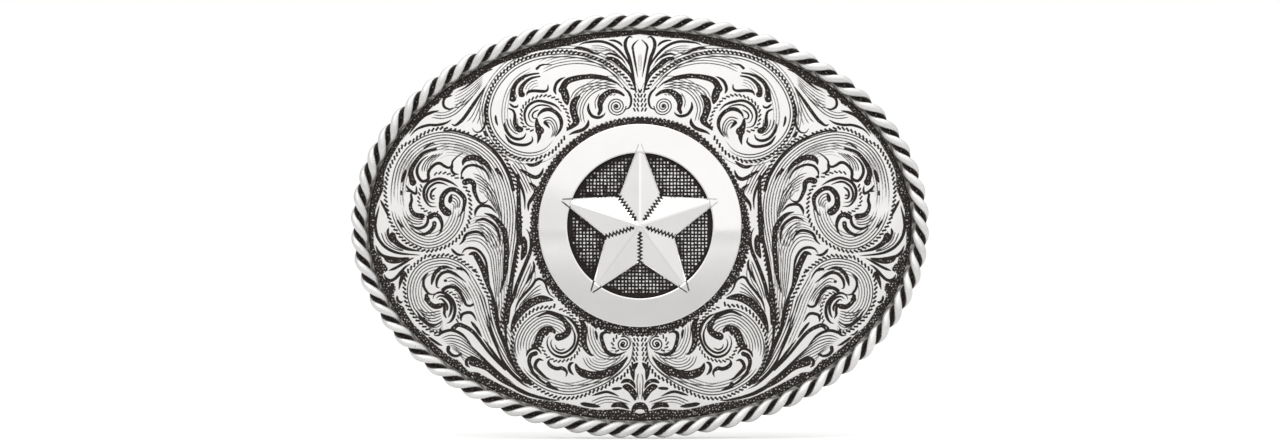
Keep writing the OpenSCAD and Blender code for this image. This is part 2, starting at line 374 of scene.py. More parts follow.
def engrave_eye_a(g):
    g.wriggle(-12.5, 15.4, -12.1, 16.2, -12.2, 17.3, -12.6, 18.6, -13.2, 19.3, -14, 20.4, -16, 21.1, -18.3,
              20.5, -19.8, 18.9, -19.8, 16.8, -19.5, 16.1, -18.8, 15.5, -18, 15.3, size=.14, pitch=.66,
              width=.28)
    g.cut(.35, -13.3, 18.3, -14.3, 19.4, -15.8, 20, -17.3, 20.2, -18.6, 19.6, -19.3, 18.5, -19.3, 17.2,
          -18.8, 16.2, -17.6, 15.9)
    g.cut(.22, -14.6, 18.9, -15.6, 19.4, -17, 19.5, -18.1, 18.9, -18.7, 17.9, -18.4, 16.9, -17.6, 16.6)
    g.cut(.22, -17, 18.8, -17.9, 18.3, -18.1, 17.7, -17.8, 17.3, -17.4, 17.5)
    g.cut(.5, -17.3, 17.4, -17, 18.1, -16.2, 18.7, -15.2, 18.75, -14.2, 18.2, -13.5, 17.2, -13.4, 16, -13.9,
          14.9, -14.5, 14.2)
    g.swell(.3, 1, -17.4, 17.2, -17.3, 16.2, -16.9, 15.3)
    g.blob(1.35, -16.9, 15.3)
    g.comma(.75, -17, 15.2, -17, 14.2, -17.3, 13.1)
    g.comma(.5, -16, 16.6, -15.2, 15.6)
    g.shade(3, [-16.6, 17.4, -15.2, 17.7, -14.2, 16.9, -13.9, 15.6, -14.4, 14.4], [-16, 16.3, -15.4, 16.4,
            -15, 15.8, -14.9, 14.9, -15.3, 13.9])
    g.cut(.45, -19.2, 9.9, -18.2, 9.6, -17.2, 9.9, -16.3, 10.6)
    g.cut(.5, -20.2, 9, -18, 7.7, -17, 7.8, -16.5, 8.5, -16.3, 9.2)
    g.cut(.5, -18.6, 6.8, -17.7, 5.96, -17.6, 5, -18.65, 3.3, -18.75, 2)


def engrave_upper_leaves(g):
    g.cut(.3, -24.5, 25.6, -26, 25, -29, 22.6, -30.3, 22)
    g.cut(.35, -31, 21.3, -32.2, 21, -32.6, 20.2, -32.4, 19.4, -31.6, 19, -30.9, 19.3)
    g.echo(3, -34.6, 17.7, -32.6, 17.5, -30.8, 18.1, -29.2, 19.5, -27.6, 21.3, side=1, width=.18)
    g.shade(6, [-31, 18.9, -29.4, 19.4, -27.8, 20.9, -26.2, 23], [-30.9, 21.1, -29.4, 21.9, -27.6, 23.2,
            -26, 24.6], width=.17, tone=.8)
    g.cut(.4, -33.2, 18.8, -34.5, 18.5, -35.6, 18, -36.8, 16.9, -38.2, 14.9)
    g.cut(.35, -31.2, 17.3, -32.2, 16.7, -33.6, 16.4, -35, 16.4, -36.4, 16, -37.3, 15.4, -38, 14.5)
    g.cut(.45, -31.3, 16.6, -30.7, 16.3, -29.8, 16.9, -28.8, 18.1, -25.6, 22.9)
    g.cut(.3, -25.4, 21, -25.8, 19, -25.7, 17, -26, 15.9, -26.6, 15.2, -27.4, 15.2, -28, 16)
    g.shade(5, [-29.2, 16.9, -28, 18.2, -25.9, 22.4], [-26.5, 16.2, -26.2, 18, -25.6, 21.8], width=.17,
            tone=.85)
    g.cut(.35, -25.9, 15.4, -25.7, 14.7, -25.2, 14.4)


def engrave_scroll_b(g):
    g.wriggle(-28.5, 14.9, -30.5, 15.5, -31.6, 15.6, -32.5, 15.9, -34.5, 15.55, -36.5, 14.6, -37.5, 13.8,
              -38.5, 13.4, -39.6, 12.5, -41.3, 9.5, -41.7, 8, -42, 5, -41.3, 1, -40.2, -1, -39, -2.5, -37.8,
              -3.3, -35.5, -4.3, -33.5, -4.1, -31.8, -3.5, -30.6, -2.7, -29.8, -1.9, -29.2, -1, -28.6, -0.2,
              -28.1, 2, -28.3, 4.6, -28.6, 5.5, -29.1, 6.2)
    g.wriggle(-27.5, 14.7, -26, 14.1, -24, 12.6, -22.3, 10.5, -21.4, 8, -20.9, 6.9, -20.5, 5.4, -20.2, 2.2,
              -19.9, 0.85, -20, -0.4, -20.7, -6.5, -21.2, -8.5, -21.9, -10.5, -22.8, -15, -22.8, -17)
    g.wriggle(-30.2, 7.5, -31, 8, -32, 8.4, -33, 8.5, -34, 8.3, size=.15, pitch=.62, width=.27)
    g.wriggle(-36.1, 6.5, -36.5, 4.6, -36.5, 3.5, -36, 2.7, -35.2, 2.1, -34, 1.8, -33.4, 2, size=.15,
              pitch=.62, width=.27)
    g.echo(7, -41, 3, -41, 6, -40.4, 9.3, -39.2, 11.7, -37.7, 13.3, -35.5, 14.6, -32.5, 15.2, -29.5, 14.7,
           -26.5, 13.4, -24, 11.2, -22.5, 8.8, -21.5, 6.1, -20.9, 3, -20.8, 0, -21.2, -4, -21.8, -8)
    g.echo(6, -41, 2.6, -40.6, 1, -39.6, -1, -38, -2.7, -36, -3.7, -34.2, -3.8, -32.3, -3.1, -30.7, -1.8,
           -29.6, 0, -29.1, 2, -29.1, 3.6, side=1)
    g.echo(5, -34.4, 12.3, -32, 13.2, -29.3, 12.9, -27, 11.7, -25.3, 9.7, -24.1, 7, -23.4, 3.6, width=.15,
           tone=.7)
    g.echo(4, -38.9, 2.6, -39.1, 5, -38.8, 7.6, -37.9, 10, -36.6, 11.8, -35, 12.9, side=1, width=.15,
           tone=.6)
    for (x0, z0), (x1, z1) in (((-20.4, 8), (-20.2, -3)), ((-20.5, -3), (-22.2, -16))):
        g.swell(.4, .8, x0, z0, (x0 + x1) / 2, (z0 + z1) / 2 + 1.2, x1, z1)
    g.swell(.2, .5, -32.5, 15.45, -30.5, 15.3, -28, 14.5, -25.6, 13.2, -23.6, 11.2, -22, 8.4, -21.2, 5.6)
    g.comma(.5, -23.9, 8.9, -23.2, 8.1, -22.7, 6.8)
    g.comma(.3, -35.6, 12.6, -34.5, 13.3, -33.4, 13.1)
    g.swell(.3, .8, -33.8, 12.4, -35.4, 12, -36.5, 11.1, -37.8, 8.9, -37.5, 6.9)
    g.blob(.9, -37.4, 7)
    g.cut(.4, -34.9, 11.4, -36, 10.6, -36.75, 9.4, -36.75, 8.2, -36.1, 7.2, -35.4, 7.2, -34.95, 7.6, -35,
          8.2, -34.8, 9, -33.9, 9.9, -33.1, 10.05, -32.4, 9.6, -31.7, 9.3, -31.2, 9.6, -31, 10.4, -30.1,
          11.3, -29.1, 11.8)
    g.cut(.35, -31, 10, -31.2, 8.9, -30.7, 8.3, -30, 8.2)
    g.cut(.45, -38.6, 9.15, -39.15, 7.5, -39.4, 6.9)
    g.cut(.25, -39.4, 5.7, -39.4, 4.8)
    g.cut(.35, -38.6, 6.6, -38.2, 5.85, -37.1, 5.1, -36.9, 5.7, -37, 6.5)
    g.cut(.2, -38.7, 5.6, -37.8, 5.4)
    g.swell(.3, .7, -37.8, 5, -37.7, 4, -37.9, 3.2, -37.7, 2.3, -37.1, 1.65, -36, 1.4)
    g.blob(.7, -36.5, 1.5)
    g.cut(.4, -35.4, 1.5, -35.1, 1.2, -35.1, 0.4, -35.6, -0.3, -36.5, -0.6, -37.3, -0.4, -38.2, 0.2)
    g.comma(.7, -34.7, 1.3, -33.9, 1.6, -33.2, 1.2, -32.8, 0.3, -32.8, -0.6, -33.2, -1.5, -33.8, -2)
    g.comma(.6, -34, 0.2, -34.1, -0.4, -34.8, -1.2, -35.85, -1.6, -36.9, -1.3, -38.1, -0.4)
    g.cut(.3, -40.1, 0.95, -39.6, 0.1, -39, -0.5)
    g.shade(5, [-39.3, 1.5, -38.2, 0.4, -37, -0.1, -35.8, 0.1], [-38, 1.7, -37.2, 1, -35.5, 0.8])
    g.shade(4, [-34.3, 11.5, -35.6, 10.5, -36.2, 9.3, -36.1, 8.6], [-32.8, 11.8, -34, 10.9, -34.8, 10,
            -35.2, 8.6])


def engrave_eye_b(g):
    g.cut(.4, -30.1, 6.1, -31.3, 6.9, -32.8, 7.45, -33.8, 7.4, -34.9, 6.9, -35.6, 5.9, -35.7, 4.7, -35.3,
          3.7, -34.6, 3, -33.5, 2.9)
    g.cut(.3, -31.6, 6.3, -32.8, 6.8, -33.8, 6.8, -34.8, 6.1, -35.2, 5.2, -35.2, 4.5, -34.8, 3.7, -33.7,
          3.5)
    g.cut(.3, -33.6, 6.1, -34.4, 5.5, -34.6, 4.7, -34.3, 4.15, -33.8, 4.3)
    g.blob(.35, -34.15, 4.7)
    g.cut(.6, -32.4, 2.4, -32.9, 3.4, -32.8, 4.4, -32.2, 5.3, -31.3, 5.75, -30.3, 5.5, -29.2, 4.4, -29.1,
          3.3, -29.4, 2.2, -30.1, 1.1)
    g.swell(.4, 1, -31.8, 5.4, -32.5, 4.7, -32.8, 3.8, -32.7, 2.8, -32.1, 2.1)
    g.blob(1.15, -31.8, 1.9)
    g.cut(.5, -31.5, 3.5, -31.4, 4.2, -31.2, 4.9)
    g.shade(4, [-31.5, 5.2, -30.4, 4.9, -29.7, 3.9, -29.9, 2.6], [-31.2, 3.9, -30.8, 3.7, -30.5, 3.2, -30.6,
            2.4])


def engrave_leaves_b(g):
    g.cut(.75, -29.4, 9.6, -29.2, 10.4, -28.3, 10.9, -27.2, 10.85, -26, 10.2, -25.2, 9.4, -24.7, 8.2)
    g.cut(.35, -29.6, 7.45, -29.55, 8.5, -28.9, 9.4, -27.85, 9.7, -26.9, 9.5, -25.9, 8.9, -25.3, 8.1, -25,
          7.1)
    g.blob(.5, -29.5, 7.6)
    g.comma(.8, -29, 6.9, -28.3, 7.1, -27.6, 6.6, -27.5, 5.4, -26.7, 3.6, -25.8, 3.5, -25.1, 4.15)
    g.cut(.4, -27.4, 1.2, -27.3, 2.1, -26.7, 2.9, -25.7, 3, -24.8, 2.7, -23.8, 1.65)
    g.cut(.7, -26, 1.8, -24.3, 1.1, -22.7, -1, -22.5, -2, -22.3, -4, -22.5, -8, -23.3, -11.2)
    g.cut(.4, -27.5, 0.3, -26.7, 0.7, -25.6, 0.7, -23.9, -0.7, -23.2, -3.5)
    g.cut(.4, -30, -3.4, -29.3, -2.7, -28.9, -1.8, -28, -1.35, -26.9, -1.3, -26, -1.9, -25.3, -3)
    g.cut(.35, -31.3, -3.9, -30.7, -4.6, -30, -5, -29, -5)
    g.cut(.35, -29.6, -4.9, -29, -4.1, -28, -3.9, -27, -4.2, -26.2, -5, -25.6, -6.3, -25.1, -9)
    g.cut(.8, -28.5, -5, -27.7, -4.8, -27.1, -5.3, -25.9, -7.8, -24.9, -11.5)
    g.shade(9, [-29.3, -3.3, -28.3, -3, -27, -3.1, -25.9, -4, -25.1, -5.6, -24.8, -7.6, -23.5, -15.5], [-29,
            -1.6, -27.6, -1.1, -26, -1.3, -24.7, -2.5, -23.9, -4, -23.5, -6, -23, -15], width=.17)
    g.shade(6, [-28, 8.6, -26.8, 8.2, -25.6, 7.2, -24.5, 5.8, -23.6, 3.8, -22.7, -0.5], [-27.2, 6.8, -25.5,
            5.6, -24.9, 4.4, -23.9, 2])
    g.echo(4, -27, 0.1, -26, -0.2, -25.1, -1, -24.3, -2.3, -23.8, -4, width=.17)


def engrave_stems(g):
    g.cut(.35, -21.8, 9.7, -20.1, 6.6, -19.4, 4.4, -19.3, 2.2)
    g.shade(4, [-21.5, 9.7, -19.6, 6.3, -19.1, 4.8], [-21.2, 10.2, -20, 8.5, -18.3, 5])
    g.cut(.5, -19.2, -0.7, -18.7, -1.4, -18.4, -2.3, -18.3, -3.5, -18.5, -4.8, -19.1, -6.3, -20.6, -10,
          -21.1, -11.8, -21.8, -13.5, -22.2, -15.5, -22.2, -17.5, -21.9, -19.5, -21.4, -21.5)
    g.cut(.8, -19.5, -2, -19.4, -4.3, -19.9, -6)
    g.cut(.35, -18, -6, -17.8, -6.8, -18, -7.8, -19.2, -10)
    g.shade(4, [-18.4, -6.2, -19.8, -9, -21, -12.5], [-18.1, -6.6, -18.4, -8, -19, -9.6, -19.8, -11, -20.4,
            -12.4])
    g.cut(.35, -20.9, -14.5, -20.2, -12.5, -18.2, -10.2, -17.6, -9.3, -17, -9, -16.3, -9.3, -15.9, -9.9,
          -15.7, -10.7, -15.2, -11.6, -14.3, -12.2)
    g.shade(5, [-16.6, -9.6, -17.8, -10.4, -20, -13, -20.5, -14], [-16.6, -11, -17.8, -11.5, -18.8, -12.3,
            -19.6, -13.2])
    g.cut(1.0, -14.6, -12.5, -15.6, -12.3, -16.8, -12.3, -18.2, -12.9, -19.5, -13.9, -20.4, -15, -21, -16.4,
          -21.3, -17.8)
    g.cut(.35, -25.9, -18.6, -22.5, -22.8, -19.3, -25.8, -17.3, -26.9)
    g.cut(.4, -28, -15.8, -27, -17, -26, -18.5)
    g.cut(.45, -26, -8.2, -25.2, -9.8, -24.1, -13.5, -23.4, -17, -22.8, -18.5, -20.8, -22.8, -19.8, -24.3,
          -18.5, -25.6, -17.2, -26.3)
    g.cut(.3, -25, -16, -24.4, -18, -22.7, -21.8, -21.6, -23.4, -20, -25, -18.2, -26.2)
    g.shade(8, [-27, -11, -26, -14, -25, -17.5, -23.8, -20.3, -22.3, -22.6, -20.3, -24.8, -18, -26.3],
            [-25.6, -11.5, -24.2, -17, -21.8, -21.8, -20.2, -24, -18.5, -25.4])
    g.cut(.8, -19.3, -24.4, -18.8, -25, -17.5, -26.2)
    g.cut(.4, -22, -25.7, -18.5, -27.6, -14.5, -28.6, -12.6, -28.7)


def engrave_side_leaves(g):
    g.cut(.4, -42.9, 3.4, -43.6, 0.5, -43.5, -1, -43.1, -2.2, -42.2, -3.4, -41, -4.2, -39.4, -4.7, -36.2,
          -5)
    g.cut(.35, -42.8, 4.2, -41.8, 2.2, -41.5, 1.2)
    g.cut(.35, -41.4, -0.4, -41.6, -1.2, -41.3, -2.2, -40.8, -3)
    g.comma(.8, -40.8, -1.7, -40.4, -2.6, -39.5, -3.4, -38.2, -4, -36, -4.4)
    g.shade(4, [-43, -1.2, -42.2, -2.9, -40.8, -3.9, -39, -4.4], [-42, -1, -41.5, -2.5, -40.3, -3.6, -38.5,
            -4.3])
    g.cut(.4, -43.6, -3.2, -43.2, -4.2, -42.6, -4.9, -41.5, -5.3, -40, -5.5, -38.3, -5.4)
    g.cut(.7, -42.3, -5.1, -41.5, -5.7, -40.3, -5.9, -38, -5.4)
    g.cut(.35, -41.5, -7.5, -40.2, -7, -38, -5.7, -37.2, -5.4)
    g.cut(.4, -42.2, -8, -41.9, -8.7, -41.2, -9.1, -40.3, -8.7, -38.8, -7, -37.9, -6.4)
    g.comma(.7, -39, -8, -39.5, -9.3, -39.8, -10.7)
    g.cut(.35, -40.1, -11.5, -40, -12.3, -39.5, -12.7, -39.1, -12.5)


def engrave_scroll_c(g):
    g.wriggle(-27.4, -7.6, -29.8, -5.8, -31.6, -5.1, -32.6, -5, -33.8, -5.2, -35, -5.1, -36, -5.6, -37.8,
              -7.1, -38.4, -7.8, -38.9, -9.8, -38.7, -12.2, -38.4, -13.2, -37.2, -15.1, -35.4, -16.8, -34.4,
              -17.4, -33.5, -17.7, -32.8, -17.3)
    g.wriggle(-27.4, -7.6, -25, -12.3, -24.7, -13.3, -23.7, -16, -22, -19.8)
    g.echo(6, -27.6, -8.3, -29.5, -6.5, -31.5, -5.6, -33.5, -5.5, -35.5, -6, -37, -7.1, -38, -8.8, -38.4,
           -10.8, -38.1, -12.8, -37.3, -14.4, -36, -15.7, -34.6, -16.7, -33.2, -17, side=1)
    g.echo(5, -28.2, -7.9, -26.3, -11.4, -25.1, -14.7, -22.6, -20.4, width=.18)
    g.cut(.35, -34.9, -7.9, -35.6, -8.6, -35.8, -9.7, -35.5, -10.6, -34.9, -11.3, -34.2, -11.4, -33.9,
          -11.2)
    g.cut(.5, -34.5, -10, -34.3, -9, -33.9, -8, -33.1, -7.2, -32.3, -6.95, -31.5, -7.1, -31, -7.4)
    g.cut(.4, -33.1, -10.4, -33.6, -10.2, -33.6, -9.2, -33.1, -8.3, -32.3, -7.8, -31.4, -7.8, -30.4, -8.3,
          -28.7, -9.6)
    g.comma(.4, -30.2, -7.2, -29.3, -7.4, -28.6, -8.1, -27.9, -9.4)
    g.swell(.5, .3, -32.6, -10.7, -32, -10.3, -31.2, -10.2, -30.4, -10.5, -29.8, -11.2, -29, -12.9, -28.5,
            -13.3, -28, -13.3, -27.7, -13.1)
    g.shade(7, [-32.4, -8.6, -31.2, -8.5, -30, -9.3, -28.7, -10.6, -27.6, -12.3], [-31.6, -9.8, -30.8, -9.8,
            -29.8, -10.6, -29, -11.6, -28.4, -12.7])
    g.blob(.5, -32.2, -9.2)
    g.swell(.5, .7, -35.3, -11.6, -35.2, -12.3, -34.6, -13, -33.9, -13.4, -33.1, -13.3)
    g.blob(.9, -35.2, -12.2)
    g.cut(.35, -37, -13.9, -35.8, -15.6, -34.2, -16.5, -32.4, -15.8)
    g.shade(8, [-36.6, -13.6, -35.3, -14.2, -32.9, -13.9], [-35.8, -15.2, -34.8, -15.9, -33.6, -16, -32.6,
            -15.4])
    g.wriggle(-32.8, -10.9, -31, -11.3, -30.1, -12.8, -29.8, -14.3, -30.1, -15.2, -30.2, -15.9, size=.14,
              pitch=.6, width=.26)
    g.cut(.4, -29.5, -15.9, -29.6, -15.2, -29.2, -14.6, -27.9, -14.5, -26.9, -15.9)


def engrave_eye_c(g):
    g.cut(.42, -32, -16.2, -31.3, -15.9, -30.8, -15.1, -30.6, -14, -30.8, -12.9, -31.4, -12, -32.3, -11.3,
          -33.2, -11.1, -34, -11.5, -34.3, -12.3)
    g.cut(.36, -31.7, -15.3, -31.3, -14.4, -31.2, -13.4, -31.6, -12.4, -32.4, -11.8, -33.2, -11.7, -33.8,
          -12.2)
    g.cut(.32, -31.9, -14.2, -31.9, -13.3, -32.8, -12.2, -33.4, -12.4)
    g.cut(.38, -33, -12.9, -32.5, -13.1, -32.3, -13.9, -32.3, -14.7, -31.9, -15.4)


def engrave_lower_leaves(g):
    g.swell(.6, .3, -30.8, -17, -30.2, -16.5, -29.4, -16.5, -27.4, -17.7, -24.5, -21.2, -22, -23.7)
    g.cut(.4, -34, -18.1, -33.2, -18.1, -32.5, -17.6, -31, -17.3, -29.2, -18.1, -27.6, -19.9)
    g.cut(.25, -36, -17.2, -35.3, -17.9, -34.5, -18.1)
    g.cut(.35, -34.9, -18.3, -33.2, -19.5, -32.4, -19.8)
    g.shade(8, [-33, -18.6, -31.5, -17.9, -30, -18, -28.8, -18.8, -26, -21.4, -22.8, -24.3, -21, -25.5],
            [-31.8, -19.6, -30.6, -19.8, -29.2, -20.6, -25.8, -22.3, -24, -23.8, -22, -25.2, -20, -26.3])
    g.swell(.5, .3, -31.5, -20.1, -31.5, -20.7, -30.9, -21.3, -30.1, -21.5, -29.4, -21.2)
    g.cut(.4, -27.8, -23.4, -28.4, -22.9, -28.4, -22.2, -27.9, -21.8, -27.1, -21.8, -25.9, -22.4)
    g.comma(1.0, -27.4, -22.5, -25, -23.4, -22.3, -25.5, -18.5, -27.4, -16.3, -28)


def engrave_scroll_d(g):
    g.wriggle(-14.3, -13.3, -15, -13.7, -16.2, -13.6, -18, -14.2, -19.4, -15.4, -20, -16.2, -20.9, -18, -21,
              -20.8, -20.3, -22.4, -20, -23.2, -18.3, -25.6, -17.2, -26.3, -16, -27.1, -13.5, -28.2, -11,
              -28.4, -8.7, -27.9, -7.6, -27.4, -5.5, -26.6, -4, -25.6, -2.5, -24.8, -1.2, -23, -0.9, -22)
    g.wriggle(-13.5, -13.9, -12, -14.6, -10.2, -16.7, -9.8, -18.5, -9.9, -19.5, -10, -20.5, -11, -21.9, -13,
              -22.4, -14, -22.3, -14.6, -21.9, -15.3, -21.6, -15.6, -21, -16.4, -19.6, -16.1, -18.8, -15.9,
              -18.2, -15.2, -18, size=.14, pitch=.66, width=.28)
    g.echo(7, -20, -22, -20.5, -20.5, -20.4, -18.5, -19.4, -16.4, -17.6, -14.8, -15.7, -14.2, -13.9, -14.6,
           -12.3, -15.3, -11, -16.6, -10.4, -18.2)
    g.cut(.35, -18.6, -21.7, -18.4, -20.9, -17.8, -20.4, -17, -20.3, -16.4, -20.8, -16.1, -21.3)
    g.swell(.6, .3, -17.1, -21.1, -17.8, -21.4, -18.1, -22.2, -17.9, -23.2, -17.3, -24.3, -16.3, -25.3,
            -15.3, -26)
    g.cut(.45, -15.7, -22.3, -16.5, -22.1, -17, -22.7, -16.9, -23.5, -15.3, -25, -14.4, -25.4)
    g.cut(.5, -14.8, -22, -14.9, -22.7, -14.3, -23.3, -13.4, -23.6, -12.7, -23.5, -12, -23.9, -11.8, -24.4,
          -12, -25)
    g.comma(.6, -14.8, -26.1, -14.2, -26.6, -12.9, -27)
    g.cut(.4, -10.7, -22.6, -11.3, -22.8, -11.5, -23.4, -11.2, -24.1, -10.6, -24.7)
    g.cut(1.05, -10.5, -22.7, -10.1, -23.6, -9.4, -24.2, -8.3, -24.6, -7, -24.7, -5.5, -24.4, -4.2, -23.8,
          -3.1, -23, -1.9, -21.7)
    g.cut(.75, -10.4, -15.6, -9.7, -16.2, -9.4, -17.2, -9.2, -19.7, -8.2, -21.2, -7.5, -21.5)
    g.cut(.35, -7.6, -17.4, -7.3, -18.2, -7.2, -19)
    g.cut(.5, -4.9, -18, -5.7, -17.7, -6.4, -18, -6.4, -18.9, -5.6, -20.7, -4.7, -21.3, -3.7, -21.4, -2.2,
          -20.8)
    g.wriggle(-3.9, -18.3, -4.5, -19, -4.6, -19.7, -4.3, -20.4, -3.6, -20.8, size=.17, pitch=.6, width=.27)
    g.coil(-2.8, -19.6, .15, 1.25, 2.3, width=.24, tone=.95)
    g.blob(.6, -3, -19.8)
    g.cut(.2, -3.2, -18.2, -2.2, -18.3, -1.5, -19.1, -1.2, -20.4, -1.6, -22.5, -3.6, -24.6, -5.5, -25.5, -8,
          -26.1, -10.5, -26.3, -12.8, -25.8, -14.5, -25, tone=.6)
    g.echo(4, -8.9, -16.4, -8.7, -18.2, -8, -20, -6.7, -21.6, -4.8, -22.1, -2.9, -21.8, side=1, width=.17)
    g.echo(5, -9.4, -21.6, -8.6, -23, -7.3, -23.8, -5.6, -24, -4, -23.4, -2.7, -22.4, -1.9, -21.3, side=1,
           width=.17)
    g.cut(.3, -9.3, -15.2, -8.2, -16.2, -7.3, -17.3)
    g.echo(5, -19.9, -22.9, -18.6, -24.7, -16.6, -26.2, -14.2, -27.3, -11.2, -27.8, -8.2, -27.2, -5.6,
           -26.1, -3.4, -24.6, -1.7, -22.8, side=1)


def engrave_eye_d(g):
    g.swell(.25, .95, -17, -15.1, -16, -14.65, -15, -14.6, -13, -15.5, -12, -17, -12.1, -17.8, -12.8, -18.3,
            -13.5, -18.5)
    g.cut(.35, -13.3, -15, -12.2, -15.2, -11.2, -16, -10.5, -17, -10.2, -18.2, -10.4, -19.6, -11, -20.8,
          -12, -21.6, -13, -21.7, -14.1, -21.3, -14.9, -20.5, -15.3, -19.5, -15.2, -18.6, -14.8, -18.2)
    g.cut(.3, -11.6, -16.8, -11, -17.7, -10.8, -18.7, -11, -19.8, -11.8, -20.7, -12.8, -21.1, -13.8, -20.8,
          -14.5, -20.1, -14.7, -19.3, -14.4, -18.7)
    g.cut(.2, -12.2, -20.3, -13, -20.6, -13.7, -20.3, -14, -19.6)
    g.cut(1.0, -17.9, -19.9, -17, -19.7, -16.4, -18, -15.8, -17.4, -15, -17.2, -14.3, -17.5, -14.1, -18)


def engrave_bottom_fan(g):
    g.cut(.6, -0.25, -22.6, -0.75, -23.2, -1.05, -24, -0.75, -25.6)
    g.shade(3, [-0.35, -24.3, -0.5, -25.8, -0.05, -28.8], [0.5, -24.3, 0.4, -26, 0.35, -28.8], width=.18)
    g.cut(.5, -2.9, -26, -2.25, -25.6, -1.5, -25.6, -0.8, -26.1, -0.4, -26.9)
    g.cut(.85, -2.5, -26.5, -1.8, -26.6, -1.1, -27.1, -0.6, -27.9, -0.45, -28.8)
    g.cut(.4, -4.3, -26.9, -3.4, -26.85, -2.5, -26.75)
    g.cut(.35, -7.6, -28, -5.4, -27.4, -4.25, -27.6, -3, -28.15)
    g.echo(3, -7.7, -29, -6.25, -28.4, -5, -28.15, -3.5, -28.3, -1, -29.1, width=.2, tone=.8)
    g.cut(.55, -9.5, -29.25, -8, -29.5, -6.1, -29.8)
    g.cut(.65, -4.4, -29.8, -3.5, -29.45, -2.4, -29.6, -1.4, -30.2)
    g.swell(.6, .5, -0.7, -30.3, -0.5, -29.8, -0.15, -29.45, 0.35, -29.35)
    g.swell(.3, .5, -0.1, -30.1, 0.1, -29.95, 0.35, -29.9)
    for x in (-1.05, -0.5):
        g.wriggle(x, -18.7, x, -20.6, x - 0.05, -22.2, size=.11, pitch=.66, width=.28)


FIELD = [-0.6, 31.3, -4.5, 30.8, -8, 30.5, -12.5, 29.4, -17.5, 28.5, -19.8, 27.6, -22.5, 26.8, -24.5, 25.9,
         -27, 24.2, -29, 23, -30.7, 22.3, -31.5, 21.4, -32.9, 20.7, -33.5, 19.9, -34.4, 19.4, -35.3, 18.5,
         -36.8, 17.2, -38, 15.6, -39.6, 13.6, -41.6, 10, -42.2, 8, -42.3, 6, -43.4, 3.2, -43.7, 1.2, -43.9,
         -3, -43.3, -4.6, -42.7, -5.3, -42.5, -6, -41.9, -6.6, -41.6, -7.4, -42.4, -8, -42.1, -8.8, -41.2,
         -9.4, -40.6, -9.6, -40.3, -10.5, -40.6, -11.2, -40.4, -12.3, -39.7, -13, -39, -13.5, -38.6, -14.4,
         -37.5, -16, -36.3, -17.3, -33.5, -19.8, -31, -21.7, -29.7, -22.3, -28, -24, -26.5, -24.2, -24.8,
         -25.1, -19, -27.9, -16.5, -28.6, -14, -28.9, -11.5, -29.3, -7.5, -30.2, -5, -30.3, -3.5, -30.1,
         -1.5, -30.4, -0.3, -30.8, 0.3, -30.9]


def inside_field():
    """Which cells lie in the engraved field, and not in the stippled edge beside the rope."""
    outline = curve(FIELD)
    past = X_AXIS[-1] + 9
    closed = np.vstack([[past, outline[0, 1]], outline, [past, outline[-1, 1]]])
    hit = np.zeros((len(Z_AXIS), len(X_AXIS)), bool)
    for (x0, z0), (x1, z1) in zip(closed, np.roll(closed, -1, axis=0)):
        if z0 != z1:
            rows = (Z_AXIS >= min(z0, z1)) & (Z_AXIS < max(z0, z1))
            crossing = x0 + (Z_AXIS[rows] - z0) * (x1 - x0) / (z1 - z0)
            hit[rows] ^= X_AXIS[None, :] > crossing[:, None]
    return hit


def stipple(rng):
    """Rows of little punched bumps: about 1 on top of a bump and 0 between them."""
    pitch, size, astray, margin = 0.46, 0.19, 0.09, 1.0
    bumps = np.zeros((len(Z_AXIS), len(X_AXIS)))
    reach = int(size / CELL) + 1
    for row, z in enumerate(np.arange(Z_AXIS[0] + margin, Z_AXIS[-1] - margin, pitch)):
        xs = np.arange(X_AXIS[0] + margin, X_AXIS[-1] - 0.6, pitch) + (row % 2) * pitch / 2
        xs = xs + rng.normal(0, astray, len(xs))
        zs = z + rng.normal(0, astray, len(xs))
        columns = ((xs - X_AXIS[0]) / CELL).astype(int)
        rows = ((zs - Z_AXIS[0]) / CELL).astype(int)
        tops = rng.uniform(0.5, 1.1, len(xs))
        for i in range(-reach, reach + 1):
            for j in range(-reach, reach + 1):
                away = np.hypot(X_AXIS[columns + i] - xs, Z_AXIS[rows + j] - zs)
                value = tops * np.clip(1 - (away / size) ** 2, 0, 1)
                np.maximum.at(bumps, (rows + j, columns + i), value)
    return bumps


def soften(field):
    """Blurs a field by a cell each way."""
    for axis in (0, 1):
        field = (np.roll(field, 1, axis) + 2 * field + np.roll(field, -1, axis)) / 4
    return field


def scalloped_edge():
    """How far from the middle the engraved field starts, in each cell's direction, in mm."""
    radius, low, scallop, half_scallops = 17.75, 0.2, 0.3, 74
    angle = np.arctan2(Z_AXIS[:, None], X_AXIS[None, :])
    return radius - low * np.sin(angle) + scallop * np.abs(np.sin(angle * half_scallops))


